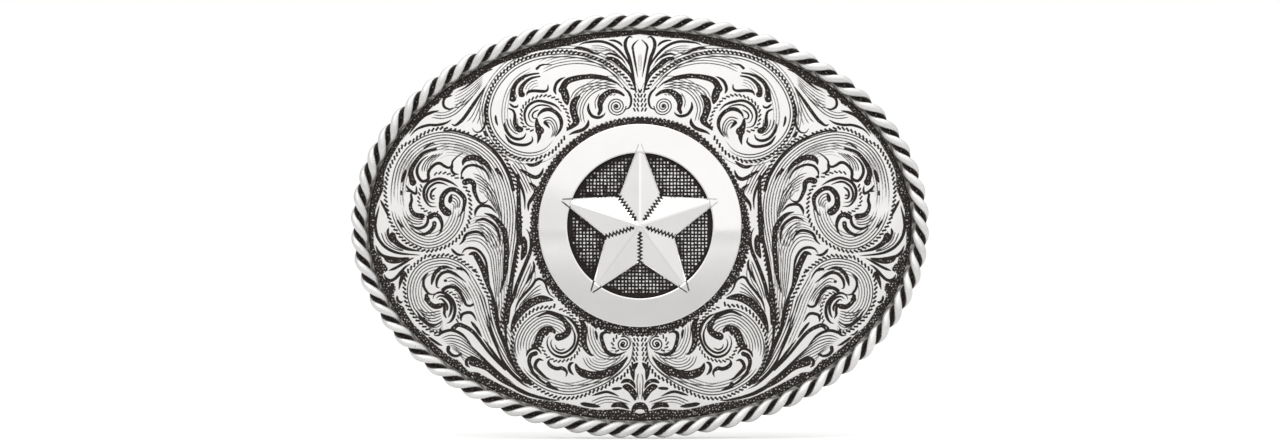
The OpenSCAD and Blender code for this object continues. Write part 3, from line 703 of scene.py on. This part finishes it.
def engraved_plate():
    """Depth in mm and darkness of every cell of the left half of the plate."""
    rng = np.random.default_rng(7)
    g = Graver()
    for part in (engrave_top_fan, engrave_scroll_a, engrave_eye_a, engrave_upper_leaves, engrave_scroll_b,
                 engrave_eye_b, engrave_leaves_b, engrave_stems, engrave_side_leaves, engrave_scroll_c,
                 engrave_eye_c, engrave_lower_leaves, engrave_scroll_d, engrave_eye_d, engrave_bottom_fan):
        part(g)
    from_middle = np.hypot(X_AXIS[None, :], Z_AXIS[:, None])
    ground = soften((~inside_field() | (from_middle < scalloped_edge())).astype(float))
    bumps = stipple(rng)
    grit = soften(rng.normal(0, 1, ground.shape))
    depth = np.maximum(np.minimum(g.depth, DEEPEST), ground * (GROUND_DEPTH - BUMP_HEIGHT * bumps))
    worn_in_cuts = 0.78 * smooth_step(0.08, 0.15, depth)
    # How much bare metal the ground's bumps show: worn, but less of it higher up the plate, which is a
    # painted shade that darkens the upper ground under the rope.
    ground_wear_and_top_shade = 0.8 - 0.008 * np.maximum(Z_AXIS[:, None], 0)
    cut_dark = g.dark * np.clip(1 - worn_in_cuts * bumps + 0.08 * grit, 0, 1)
    ground_dark = ground * np.clip(1 - ground_wear_and_top_shade * bumps + 0.06 * grit, 0, 1)
    return soften(depth), np.maximum(cut_dark * (1 - 0.5 * ground), ground_dark)


def sample(field, x, z):
    """The field's value at points of the left half, worked out from the four cells round each."""
    i = np.clip((x - X_AXIS[0]) / CELL, 0, len(X_AXIS) - 1.001)
    j = np.clip((z - Z_AXIS[0]) / CELL, 0, len(Z_AXIS) - 1.001)
    i0, j0 = i.astype(int), j.astype(int)
    s, t = i - i0, j - j0
    low = field[j0, i0] * (1 - s) + field[j0, i0 + 1] * s
    high = field[j0 + 1, i0] * (1 - s) + field[j0 + 1, i0 + 1] * s
    return low * (1 - t) + high * t


def hand_drift(x, z):
    """The right half follows the left as a hand would, and not as a mirror: how far it strays, in mm."""
    across, up = 0.45, 0.4
    room = np.clip(1 - (x / 44) ** 2 - (z / 32) ** 2, 0, 1) * smooth_step(1.5, 8, x)
    return across * room * np.sin(0.23 * z + 0.11 * x + 1), up * room * np.sin(0.19 * x - 0.17 * z)


# ---------------------------------------------------------------- plates

SECTORS = 10
PLATE_TURNS = 2880    # points round the engraved sheet
PLATE_STEPS = 300     # steps from its middle part to its edge
BACK_EVERY = 30       # its back needs only every 30th ring of points
PLATE_INNER = 15.9    # the sectors start under the medallion's ring, mm
EDGE_DROP = 0.3       # how far the sheet's outer edge curls down, mm


def make_face_plate(material):
    """The engraved sheet, as sectors round a plain middle that the medallion covers."""
    depth, dark = engraved_plate()
    wide, tall = half_size("face_plate")
    turn = np.linspace(0, FULL_TURN, PLATE_TURNS + 1)[None, :]
    out = np.linspace(0, 1, PLATE_STEPS + 1)[:, None]
    x = (PLATE_INNER + (wide - PLATE_INNER) * out) * np.cos(turn)
    z = (PLATE_INNER + (tall - PLATE_INNER) * out) * np.sin(turn)
    drift_x, drift_z = hand_drift(x, z)
    drawn_x = -np.abs(x) + np.where(x > 0, drift_x, 0)
    drawn_z = z + np.where(x > 0, drift_z, 0)
    height = dome(FACE_R, x, z) - sample(depth, drawn_x, drawn_z)
    height -= EDGE_DROP * smooth_step(0.985, 1, out) ** 2
    points = np.stack([x, -height, z], -1) * MM
    normals = unit(np.cross(np.gradient(points, axis=0), np.gradient(points, axis=1)))
    darkness = sample(dark, drawn_x, drawn_z)
    back = np.stack([x, -dome(BACK_R, x, z), z], -1)[::BACK_EVERY] * MM
    columns = PLATE_TURNS // SECTORS
    for k in range(SECTORS):
        part = slice(k * columns, (k + 1) * columns + 1)
        sector(k, points[:, part], normals[:, part], darkness[:, part], back[:, part], material)
    plate_middle(material)


def sector(k, front, normals, darkness, back, material):
    """One closed sector of the engraved sheet."""
    front_at = numbered(*front.shape[:2])
    back_at = numbered(*back.shape[:2], front_at.size)
    front_faces = quads(front_at)[:, ::-1]
    inner_wall = quads(np.stack([front_at[0], back_at[0]]))
    outer_wall = quads(np.stack([back_at[-1], front_at[-1]]))
    start_wall = np.concatenate([front_at[:, 0], back_at[::-1, 0]])[None, ::-1]
    end_wall = np.concatenate([front_at[:, -1], back_at[::-1, -1]])[None, :]
    piece = build_mesh(f"face_plate_{k}", np.concatenate([front.reshape(-1, 3), back.reshape(-1, 3)]),
                       [front_faces, quads(back_at), inner_wall, outer_wall, start_wall, end_wall],
                       "face_plate", material)
    add_layer(piece, "patina_and_shade", np.concatenate([darkness.ravel(), np.ones(back_at.size)]))
    smooth_front(piece.data, normals.reshape(-1, 3), front_faces.size)


def smooth_front(mesh, normals, front_corners):
    """Shades the first corners of a mesh by the points' normals, and the others by their flat faces."""
    corner_point = np.zeros(len(mesh.loops), np.int32)
    mesh.loops.foreach_get("vertex_index", corner_point)
    flat = np.zeros(len(mesh.polygons) * 3, np.float32)
    mesh.polygons.foreach_get("normal", flat)
    sizes = np.zeros(len(mesh.polygons), np.int32)
    mesh.polygons.foreach_get("loop_total", sizes)
    corners = np.repeat(flat.reshape(-1, 3), sizes, axis=0)
    corners[:front_corners] = normals[corner_point[:front_corners]]
    mesh.normals_split_custom_set(corners)


def plate_middle(material):
    """The plain middle of the sheet, under the medallion."""
    points, sides, caps = disc(PLATE_INNER, 14, 160, FACE_R, BACK_R)
    piece = build_mesh("face_plate_middle", points, sides + caps, "face_plate", material)
    add_layer(piece, "patina_and_shade", np.ones(len(points)))


def make_back_plate(material):
    """The plain domed plate at the back, with a softly broken edge and heat tones round the solder."""
    wide, tall = half_size("base_plate")
    steps, rings, soft = 480, 30, 0.35
    corner = np.linspace(0, math.pi / 2, 6)
    flat = np.linspace(0.985, soft / tall, rings) * tall
    inwards = np.concatenate([flat, soft - soft * np.sin(corner)])[:, None]
    drop = np.concatenate([np.zeros(rings), soft - soft * np.cos(corner)])[:, None]
    turn = round_turn(steps)
    x = (wide - inwards * wide / tall) * np.cos(turn)
    z = (tall - inwards) * np.sin(turn)
    front = to_frame(x, z, dome(BACK_R, x, z) - drop)
    x, z = x[::-1], z[::-1]
    back = to_frame(x, z, dome(BALL_R, x, z) + drop[::-1])
    at = numbered(2 * len(inwards), steps, 0, True)
    faces = [quads(at)[:, ::-1], at[:1, :-1], at[-1:, -2::-1]]
    piece = build_mesh("base_plate_domed", np.concatenate([front, back]), faces,
                       "base_plate", material)
    heat = np.maximum(near_node("hinge_strip", x, z), near_node("hook_pad", x, z))
    add_layer(piece, "patina_and_shade", np.stack([0 * heat, heat]))


def near_node(node, x, z):
    """1 beside a CAD node, fading to 0 a few millimetres away."""
    fade = 1.6
    low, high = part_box(node)
    off_x = np.maximum(np.maximum(low.x / MM - x, x - high.x / MM), 0)
    off_z = np.maximum(np.maximum(low.z / MM - z, z - high.z / MM), 0)
    return np.exp(-np.hypot(off_x, off_z) / fade)


# ---------------------------------------------------------------- medallion

STAR_TIP = 13.85      # from the middle to a tip and to a notch, mm
STAR_NOTCH = 5.85
RING_INNER = 11.85


def make_ring(material):
    """The polished ring: a turned section with softly broken edges."""
    outer = half_size("medallion_ring")[0]
    steps, soft, sunk = 1080, 0.22, 0.12
    quarter = np.linspace(0, math.pi / 2, 7)
    rise, run = soft * np.sin(quarter), soft * np.cos(quarter)
    past_tips = STAR_TIP + 0.4
    flat = np.concatenate([np.linspace(RING_INNER + soft, past_tips, 20)[1:],
                           np.linspace(past_tips, outer - soft, 8)[1:-1]])
    r = np.concatenate([[RING_INNER], RING_INNER + soft - run, flat, outer - soft + rise, [outer]])
    height = np.concatenate([[dome(FACE_R, RING_INNER, 0) - sunk],
                             dome(RING_R, RING_INNER + soft, 0) - soft + rise,
                             dome(RING_R, flat, 0),
                             dome(RING_R, outer - soft, 0) - soft + run,
                             [dome(FACE_R, outer, 0) - sunk]])
    turn = round_turn(steps)
    x, z = r[:, None] * np.cos(turn), r[:, None] * np.sin(turn)
    at = numbered(len(r), steps, 0, True)
    under = np.stack([at[0], at[-1]])
    piece = build_mesh("medallion_ring_polished", to_frame(x, z, height[:, None]),
                       [quads(at)[:, ::-1], quads(under)], "medallion_ring", material)
    piece.data.set_sharp_from_angle(angle=math.radians(40))
    corners = star_corners()
    to_tip = np.min([np.hypot(x - tip[0], z - tip[1]) for tip in corners[::2]], axis=0)
    # A dark line on the ring beside the star's outline, fading near the tips: partly oxide at the star's foot
    # and partly painted shadow, so it is strongest towards the lower left and faintest at the upper right.
    oxide_and_shadow_line = (1 - smooth_step(0.05, 0.2, distance_to_outline(x, z, corners))) * smooth_step(0.15, 0.8, to_tip)
    add_layer(piece, "patina_and_shade", oxide_and_shadow_line * (0.55 - 0.3 * np.sin(turn + 0.6)))


def make_floor(material):
    """The dark floor of the medallion, covered with rows of little raised squares."""
    rng = np.random.default_rng(11)
    edge = half_size("medallion_floor")[0]
    pitch, margin, astray, sunk = 0.57, 0.42, 0.018, 0.05
    base, sides, caps = disc(edge, 12, 120, FLOOR_R, FACE_R, sunk)
    points, values, total = [base], [np.ones(len(base))], len(base)
    box = np.array([[4, 5, 6, 7], [0, 1, 5, 4], [1, 2, 6, 5], [2, 3, 7, 6], [3, 0, 4, 7], [3, 2, 1, 0]])
    number = int(edge / pitch)
    for row in range(-number, number + 1):
        for column in range(-number, number + 1):
            centre = np.array([column * pitch, row * pitch]) + rng.normal(0, astray, 2)
            if np.hypot(*centre) > edge - margin:
                continue
            points.append(raised_square(centre, rng))
            sides.append(total + box)
            values.append([1.0] * 4 + [oxide_left(centre, edge, rng)] * 4)
            total += 8
    piece = build_mesh("medallion_floor_squares", np.concatenate(points), sides + caps,
                       "medallion_floor", material, smooth=False)
    add_layer(piece, "patina_and_shade", np.concatenate(values))


def raised_square(centre, rng):
    """The eight points of a raised square: its foot, just under the floor, and its smaller top."""
    foot, top, rise, sunk = 0.16, 0.136, 0.15, 0.03
    corners = np.array([[-1, -1], [1, -1], [1, 1], [-1, 1]])
    low = (centre + corners * foot * rng.uniform(0.92, 1.05)).T
    high = (centre + corners * top * rng.uniform(0.8, 1.25, (1, 2))).T
    level = rise * rng.uniform(0.8, 1.15)
    return np.concatenate([to_frame(*low, dome(FLOOR_R, *low) - sunk),
                           to_frame(*high, dome(FLOOR_R, *high) + level)])


def oxide_left(centre, edge, rng):
    """How much oxide a raised square has kept on top: most beside the star and the ring."""
    to_wall = min(float(distance_to_outline(*centre, star_corners())), edge - np.hypot(*centre))
    cloud = 0.12 * math.sin(0.7 * centre[0] + 1) * math.sin(0.6 * centre[1]) - 0.02 * centre[0]
    return np.clip(0.66 - 0.42 * to_wall + cloud + rng.normal(0, 0.16), 0, 0.75)


def make_star(material):
    """The five-pointed star: ten facets with softly rounded ridges and a zigzag cut down each valley."""
    low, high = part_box("star")
    top, under = -low.y / MM, -high.y / MM
    steps, blunt = 110, 0.04
    soft_ridge, ridge_width = 0.10, 0.22
    soft_edge, uneven, cut_depth = 0.09, 0.035, 0.16
    outline, edge_height = star_rim(under)
    out = np.linspace(0, 1, steps + 1)[1:, None]
    x, z = out * outline[None, :, 0], out * outline[None, :, 1]
    height = top + (edge_height[None, :] - top) * out
    height = np.minimum(height, top - blunt)
    ridge_gap = distance_to_rays(x, z, star_corners()[::2])
    height -= soft_ridge * np.clip(1 - ridge_gap / ridge_width, 0, 1) ** 2 * smooth_step(0, 0.2, 1 - out)
    height -= soft_edge * smooth_step(0.93, 1, out) ** 2
    height += uneven * np.sin(0.9 * x + 0.5 * z + 1) * np.sin(0.8 * z - 0.4 * x) * (1 - out ** 2)
    cut = star_cuts(x, z)
    height -= cut_depth * cut
    wall = to_frame(*outline.T, under)
    peak = to_frame(0, 0, top - 0.06)
    at = numbered(steps + 1, len(outline), 0, True)
    fan = np.stack([at[0, :-1], at[0, 1:], np.full(len(outline), steps * len(outline) + len(wall))], 1)
    piece = build_mesh("star_faceted", np.concatenate([to_frame(x, z, height), wall, peak]),
                       [fan, quads(at)[:, ::-1], at[-1:, -2::-1]], "star", material)
    piece.data.set_sharp_from_angle(angle=math.radians(32))
    add_layer(piece, "patina_and_shade", np.concatenate([cut.ravel(), np.full(len(wall), 0.8), [0]]))


def star_corners():
    """The ten corners of the star's outline, tips and notches by turns, from the top tip leftwards."""
    turn = np.radians(90 + 36 * np.arange(10))
    radius = np.where(np.arange(10) % 2, STAR_NOTCH, STAR_TIP)
    return np.stack([radius * np.cos(turn), radius * np.sin(turn)], 1)


def star_rim(under):
    """Points round the star's outline, closest together at its corners, and the height of each."""
    tip_rise, notch_rise, across = 0.25, 0.5, 56
    share = (1 - np.cos(np.linspace(0, math.pi, across + 1)[:-1])) / 2
    corners = star_corners()
    rises = np.tile([tip_rise, notch_rise], 5)
    outline, height = [], []
    for a, b, rise_a, rise_b in zip(corners, np.roll(corners, -1, 0), rises, np.roll(rises, -1)):
        outline.append(a + (b - a) * share[:, None])
        height.append(under + rise_a + (rise_b - rise_a) * share)
    return np.concatenate(outline), np.concatenate(height)


def distance_to_rays(x, z, ends):
    """Distance from each point to the nearest of the lines from the middle to the ends."""
    return np.min([distance_to_line(x, z, np.zeros(2), end) for end in ends], axis=0)


def distance_to_outline(x, z, corners):
    """Distance from each point to the nearest side of a closed outline."""
    sides = zip(corners, np.roll(corners, -1, axis=0))
    return np.min([distance_to_line(x, z, start, end) for start, end in sides], axis=0)


def distance_to_line(x, z, start, end):
    """Distance from each point to the line from start to end."""
    side = end - start
    x, z = x - start[0], z - start[1]
    t = np.clip((x * side[0] + z * side[1]) / (side @ side), 0, 1)
    return np.hypot(x - t * side[0], z - t * side[1])


def star_cuts(x, z):
    """1 in the zigzag cuts down the star's five valleys and 0 elsewhere."""
    pitch, sweep, width = 0.6, 0.62, 0.19
    cut = np.zeros(np.shape(x))
    for end in star_corners()[1::2]:
        along = unit(end)
        s = x * along[0] + z * along[1]
        d = z * along[0] - x * along[1]
        phase = (s / pitch) % 1
        sway = sweep * (np.abs(2 * phase - 1) - 0.5) * smooth_step(0.4, 2.2, s)
        near = width - np.abs(d - sway) * 0.7
        cut = np.maximum(cut, smooth_step(0.8, 1.3, s) * np.clip(near / 0.06, 0, 1))
    return cut


# ---------------------------------------------------------------- rope

ROPE_HALF = (46.225, 33.525)   # half the width and half the height of the rope's middle line, mm
ROPE_TURNS = 35
TWIST_R = 0.68                 # from the rope's middle to a wire's middle, mm
STRAND_R = 0.67                # half a wire's thickness, mm


def rope_middle(turn):
    """Points of the rope's middle line: across, up the drawing, and height."""
    x, z = ROPE_HALF[0] * np.cos(turn), ROPE_HALF[1] * np.sin(turn)
    return np.stack([x, z, dome(ROPE_R, x, z)], 1)


def rope_line(count):
    """Equally spaced points of the rope's middle line, with vectors outwards and up, and how far along."""
    fine = np.linspace(0, FULL_TURN, 20001)
    length = np.concatenate([[0], np.cumsum(np.linalg.norm(np.diff(rope_middle(fine), axis=0), axis=1))])
    where = np.linspace(0, length[-1], count, endpoint=False)
    path = rope_middle(np.interp(where, length, fine))
    along = unit(np.roll(path, -1, axis=0) - np.roll(path, 1, axis=0))
    up = unit(path + np.array([0, 0, BALL_R]))
    return path, unit(np.cross(along, up)), up, where, length[-1]


def make_strand(node, phase, material):
    """One of the rope's two twisted wires."""
    rings, sides = ROPE_TURNS * 52, 20
    path, out, up, where, length = rope_line(rings)
    turn = (math.radians(phase) - FULL_TURN * ROPE_TURNS * where / length)[:, None]
    away = np.cos(turn) * up + np.sin(turn) * out
    middle = path + TWIST_R * away
    along = unit(np.roll(middle, -1, axis=0) - np.roll(middle, 1, axis=0))
    away = unit(away - (away * along).sum(1, keepdims=True) * along)
    angle = np.linspace(0, FULL_TURN, sides, endpoint=False)
    cos, sin = np.cos(angle), np.sin(angle)
    ring = cos[None, :, None] * away[:, None] + sin[None, :, None] * np.cross(along, away)[:, None]
    points = middle[:, None] + STRAND_R * ring
    forward = np.cross(out, up)[:, None]
    offset = points - path[:, None]
    from_axis = np.linalg.norm(offset - (offset * forward).sum(-1, keepdims=True) * forward, axis=-1)
    at = numbered(rings, sides, 0, True)
    flat = points.reshape(-1, 3)
    piece = build_mesh(node + "_wire", to_frame(*flat.T), [quads(np.vstack([at, at[:1]]))],
                       node, material)
    add_layer(piece, "patina_and_shade", 1 - smooth_step(0.71, 1.14, from_axis))
    lengthwise = 0.35 * where[:, None]
    grain = np.stack(np.broadcast_arrays(cos, sin, lengthwise), -1)
    add_layer(piece, "grain", grain, "FLOAT_VECTOR", "vector")


# ---------------------------------------------------------------- materials

OXIDE = (0.026, 0.0205, 0.0185)
OXIDE_LIGHT = (0.075, 0.062, 0.057)    # the paler crumbs in the oxide
PIT = (0.12, 0.10, 0.085)
HEAT = (0.34, 0.29, 0.23)              # tarnish where the solder was heated

# Noise scales: roughly how many spots or lines there are in a metre
CLOUDS, WIDE_CLOUDS = 160, 90
PITS, FINE, LINES, CRUMBS = 1400, 4200, 5200, 6500


def plug(tree, node, inputs):
    """Gives a node's inputs their numbers and colours, or joins them to other nodes' outputs."""
    for name, value in inputs.items():
        if isinstance(value, bpy.types.NodeSocket):
            tree.links.new(value, node.inputs[name])
        else:
            node.inputs[name].default_value = value


def add(tree, kind, inputs, output, **settings):
    """A new node's output."""
    node = tree.nodes.new("ShaderNode" + kind)
    for name, value in settings.items():
        setattr(node, name, value)
    plug(tree, node, inputs)
    return node.outputs[output]


def shader(name, inputs_of):
    """A new material. inputs_of makes its nodes and says what goes into its surface."""
    material = bpy.data.materials.new(name)
    material.use_nodes = True
    tree = material.node_tree
    tree.nodes.clear()
    surface = add(tree, "BsdfPrincipled", inputs_of(tree), "BSDF")
    add_output(tree, "OutputMaterial", surface)
    return material


def add_output(tree, kind, surface):
    """The node that a tree ends in."""
    plug(tree, tree.nodes.new("ShaderNode" + kind), {"Surface": surface})


def place(tree, stretch=(1, 1, 1)):
    """The point on the object, in metres, stretched so that a pattern can have a grain."""
    return add(tree, "Mapping", {"Vector": add(tree, "TexCoord", {}, "Object"), "Scale": stretch}, "Vector")


def noise(tree, where, scale, detail, roughness=0.55):
    """A noise pattern, as a number about 0.5. The scale is per metre of where."""
    inputs = {"Vector": where, "Scale": scale, "Detail": detail, "Roughness": roughness}
    return add(tree, "TexNoise", inputs, "Fac")


def remap(tree, value, low, high, to_low, to_high):
    """Value moved from the range low..high to the range to_low..to_high."""
    inputs = {"Value": value, "From Min": low, "From Max": high, "To Min": to_low, "To Max": to_high}
    return add(tree, "MapRange", inputs, "Result")


def product(tree, a, b):
    """a times b."""
    return add(tree, "Math", {0: a, 1: b}, "Value", operation="MULTIPLY")


def total(tree, a, b):
    """a plus b, held between 0 and 1."""
    return add(tree, "Math", {0: a, 1: b}, "Value", operation="ADD", use_clamp=True)


def blend(tree, share, first, second):
    """A colour between first and second."""
    colours = [(*c, 1) if isinstance(c, tuple) else c for c in (first, second)]
    return add(tree, "Mix", {"Factor": share, 6: colours[0], 7: colours[1]}, 2, data_type="RGBA")


def attribute(tree, name, kind="Fac"):
    """A number or vector that the mesh carries at each point."""
    return add(tree, "Attribute", {}, kind, attribute_name=name)


def bump(tree, height, distance, strength):
    """The normals of a surface that is raised by a pattern."""
    return add(tree, "Bump", {"Height": height, "Distance": distance, "Strength": strength}, "Normal")


def silver(name, bright, shaded, gloss, grain=None, metallic=1.0, oxide_light=OXIDE_LIGHT):
    """Polished silver that turns to dark oxide, or to a painted shade, where the mesh's patina layer says.

    bright and shaded are the clean metal's two tones, gloss its lowest and highest roughness,
    and grain the name of the vector along which fine polishing lines run."""
    def inputs_of(tree):
        spot = place(tree)
        cloud = noise(tree, spot, CLOUDS, 4)
        fine = noise(tree, spot, FINE, 2)
        if grain:
            lines = noise(tree, attribute(tree, grain, "Vector"), 9, 3, 0.6)
        else:
            lines = noise(tree, place(tree, (1, 1, 0.14)), LINES, 3, 0.6)
        patina_and_shade = attribute(tree, "patina_and_shade")
        ragged = product(tree, remap(tree, fine, 0.35, 0.65, -0.22, 0.22), patina_and_shade)
        share = remap(tree, total(tree, patina_and_shade, ragged), 0.12, 0.66, 0, 1)
        metal = blend(tree, remap(tree, cloud, 0.3, 0.7, 0, 1), bright, shaded)
        metal = blend(tree, remap(tree, lines, 0.55, 0.8, 0, 0.35), metal, shaded)
        crumbs = remap(tree, noise(tree, spot, CRUMBS, 2), 0.45, 0.75, 0, 1)
        relief = total(tree, product(tree, fine, share), product(tree, lines, 0.08))
        return {
            "Base Color": blend(tree, share, metal, blend(tree, crumbs, OXIDE, oxide_light)),
            "Roughness": total(tree, remap(tree, cloud, 0.3, 0.7, *gloss), product(tree, share, 0.5)),
            "Metallic": remap(tree, share, 0.3, 0.9, metallic, 0.25),
            "Normal": bump(tree, relief, 0.00006, 0.6),
            "Specular IOR Level": 0.2,
        }
    return shader(name, inputs_of)


def nickel_silver(name, light, dark, gloss):
    """Plain nickel silver, brushed lengthwise, with darker clouds and small pits."""
    def inputs_of(tree):
        spot = place(tree)
        brushed = noise(tree, place(tree, (1, 1, 0.05)), LINES, 4, 0.65)
        cloud = noise(tree, spot, WIDE_CLOUDS, 4)
        pits = noise(tree, spot, PITS, 2)
        tone = blend(tree, remap(tree, cloud, 0.3, 0.7, 0, 1), light, dark)
        tone = blend(tree, remap(tree, brushed, 0.42, 0.75, 0, 0.7), tone, dark)
        tone = blend(tree, remap(tree, pits, 0.68, 0.76, 0, 0.7), tone, PIT)
        heat = product(tree, attribute(tree, "patina_and_shade"), remap(tree, cloud, 0.35, 0.6, 0.5, 1))
        rough = remap(tree, cloud, 0.3, 0.7, *gloss)
        return {
            "Base Color": blend(tree, heat, tone, HEAT),
            "Roughness": total(tree, rough, remap(tree, brushed, 0.3, 0.8, 0, 0.12)),
            "Metallic": 1.0,
            "Normal": bump(tree, brushed, 0.00002, 0.5),
        }
    return shader(name, inputs_of)


def dress(node, material):
    """Gives a CAD node that stays in view its material."""
    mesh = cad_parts[node].data
    mesh.materials.clear()
    mesh.materials.append(material)


# ---------------------------------------------------------------- stage

def seen_or_lit(tree, seen, lit):
    """A strength for what is looked at directly, and another for what lights and is mirrored in the metal."""
    looked_at = add(tree, "LightPath", {}, "Is Camera Ray")
    return add(tree, "Mix", {"Factor": looked_at, 2: lit, 3: seen}, 0, data_type="FLOAT")


def pale_card(tree):
    """Matt white card for the floor: it looks white, and the metal mirrors it a shade greyer."""
    mottle = remap(tree, noise(tree, place(tree), 30, 3), 0.3, 0.7, 0.93, 0.96)
    y = add(tree, "SeparateXYZ", {"Vector": place(tree)}, "Y")
    near = remap(tree, y, -0.085, -0.03, 0.62, 0.78)
    far = remap(tree, y, -0.6, -0.15, 0.24, 0.0)
    return {
        "Base Color": product(tree, mottle, seen_or_lit(tree, 1.0, total(tree, near, far))),
        "Roughness": 0.7,
        "Specular IOR Level": 0.1,
        "Emission Color": (1, 1, 1, 1),
        "Emission Strength": seen_or_lit(tree, 0.22, 0.0),
    }


def make_floor_plane():
    """A wide pale floor at the buckle's lowest point."""
    span, points_across = 3.0, 13
    u = np.linspace(-span, span, points_across)
    x, y = np.meshgrid(u, u)
    points = np.stack([x.ravel(), y.ravel(), np.full(x.size, cad_box[0][2])], 1)
    mesh = bpy.data.meshes.new("floor")
    mesh.from_pydata(points.tolist(), [], quads(numbered(points_across, points_across)).tolist())
    floor = bpy.data.objects.new("floor", mesh)
    bpy.context.scene.collection.objects.link(floor)
    mesh.materials.append(shader("floor_white", pale_card))


def make_light():
    """Soft white studio light from all round, brightest above and in front, and greyer low down."""
    world = bpy.data.worlds.new("studio")
    bpy.context.scene.world = world
    world.use_nodes = True
    tree = world.node_tree
    tree.nodes.clear()
    direction = add(tree, "TexCoord", {}, "Generated")
    x, y, z = (add(tree, "SeparateXYZ", {"Vector": direction}, axis) for axis in "XYZ")
    tilted = total(tree, z, remap(tree, x, -0.22, 0.22, -0.066, 0.066))
    level = remap(tree, tilted, -0.01, 0.035, 0.8, 1.02)
    level = product(tree, level, remap(tree, z, 0.16, 0.7, 1.0, 1.06))
    sideways = add(tree, "Math", {0: x}, "Value", operation="ABSOLUTE")
    level = product(tree, level, remap(tree, sideways, 0.4, 0.95, 1.0, 0.75))
    level = product(tree, level, remap(tree, x, -0.7, 0.7, 0.95, 1.03))
    level = product(tree, level, remap(tree, y, 0.1, 0.7, 1.0, 0.45))
    strength = seen_or_lit(tree, 1.02, level)
    add_output(tree, "OutputWorld", add(tree, "Background", {"Color": (1, 1, 1, 1), "Strength": strength},
                                        "Background"))
    soft_box("key_light", (-0.35, -0.55, 0.75), 0.7, 1.2)
    soft_box("top_light", (0.15, 0.1, 0.95), 0.9, 2.0)


def soft_box(name, at, size, power):
    """A square area light that faces the buckle."""
    data = bpy.data.lights.new(name, "AREA")
    data.size = size
    data.energy = power
    lamp = bpy.data.objects.new(name, data)
    lamp.location = at
    lamp.rotation_euler = (math.acos(at[2] / math.hypot(*at)), 0, math.atan2(at[1], at[0]) + math.pi / 2)
    bpy.context.scene.collection.objects.link(lamp)


def make_camera():
    """A long lens straight in front of the buckle, as far away as makes it as large as in the photo."""
    distance, up = 0.786, 0.00033
    data = bpy.data.cameras.new("camera")
    data.lens = 135
    data.sensor_width = 36
    data.clip_start = 0.01
    data.clip_end = 30
    camera = bpy.data.objects.new("camera", data)
    camera.location = (0, -distance, up)
    camera.rotation_euler = (math.pi / 2, 0, 0)
    bpy.context.scene.collection.objects.link(camera)
    bpy.context.scene.camera = camera


# ---------------------------------------------------------------- the buckle

make_camera()
bpy.context.scene.view_settings.view_transform = "Standard"
make_light()
make_floor_plane()

engraved = silver("engraved_silver", (0.99, 0.98, 0.97), (0.94, 0.925, 0.91), (0.3, 0.4), metallic=0.62)
polished = silver("polished_silver", (0.965, 0.955, 0.945), (0.93, 0.915, 0.905), (0.04, 0.08))
rope_metal = silver("rope_silver", (0.98, 0.975, 0.965), (0.76, 0.755, 0.745), (0.22, 0.32), "grain", 0.55)
floor_metal = silver("oxidised_silver", (0.98, 0.97, 0.96), (0.8, 0.79, 0.78), (0.3, 0.4),
                     oxide_light=(0.045, 0.037, 0.034))
back_metal = nickel_silver("nickel_silver_back", (0.77, 0.75, 0.70), (0.65, 0.63, 0.58), (0.22, 0.34))
wire_metal = nickel_silver("bail_wire", (0.80, 0.78, 0.73), (0.62, 0.60, 0.55), (0.2, 0.3))

make_back_plate(back_metal)
make_face_plate(engraved)
make_ring(polished)
make_floor(floor_metal)
make_star(polished)
make_strand("rope_strand_a", 0, rope_metal)
make_strand("rope_strand_b", 180, rope_metal)

for node in ("hinge_strip", "hinge_knuckle_upper", "hinge_knuckle_lower", "hook_pad", "hook_post"):
    dress(node, back_metal)
dress("bail", wire_metal)
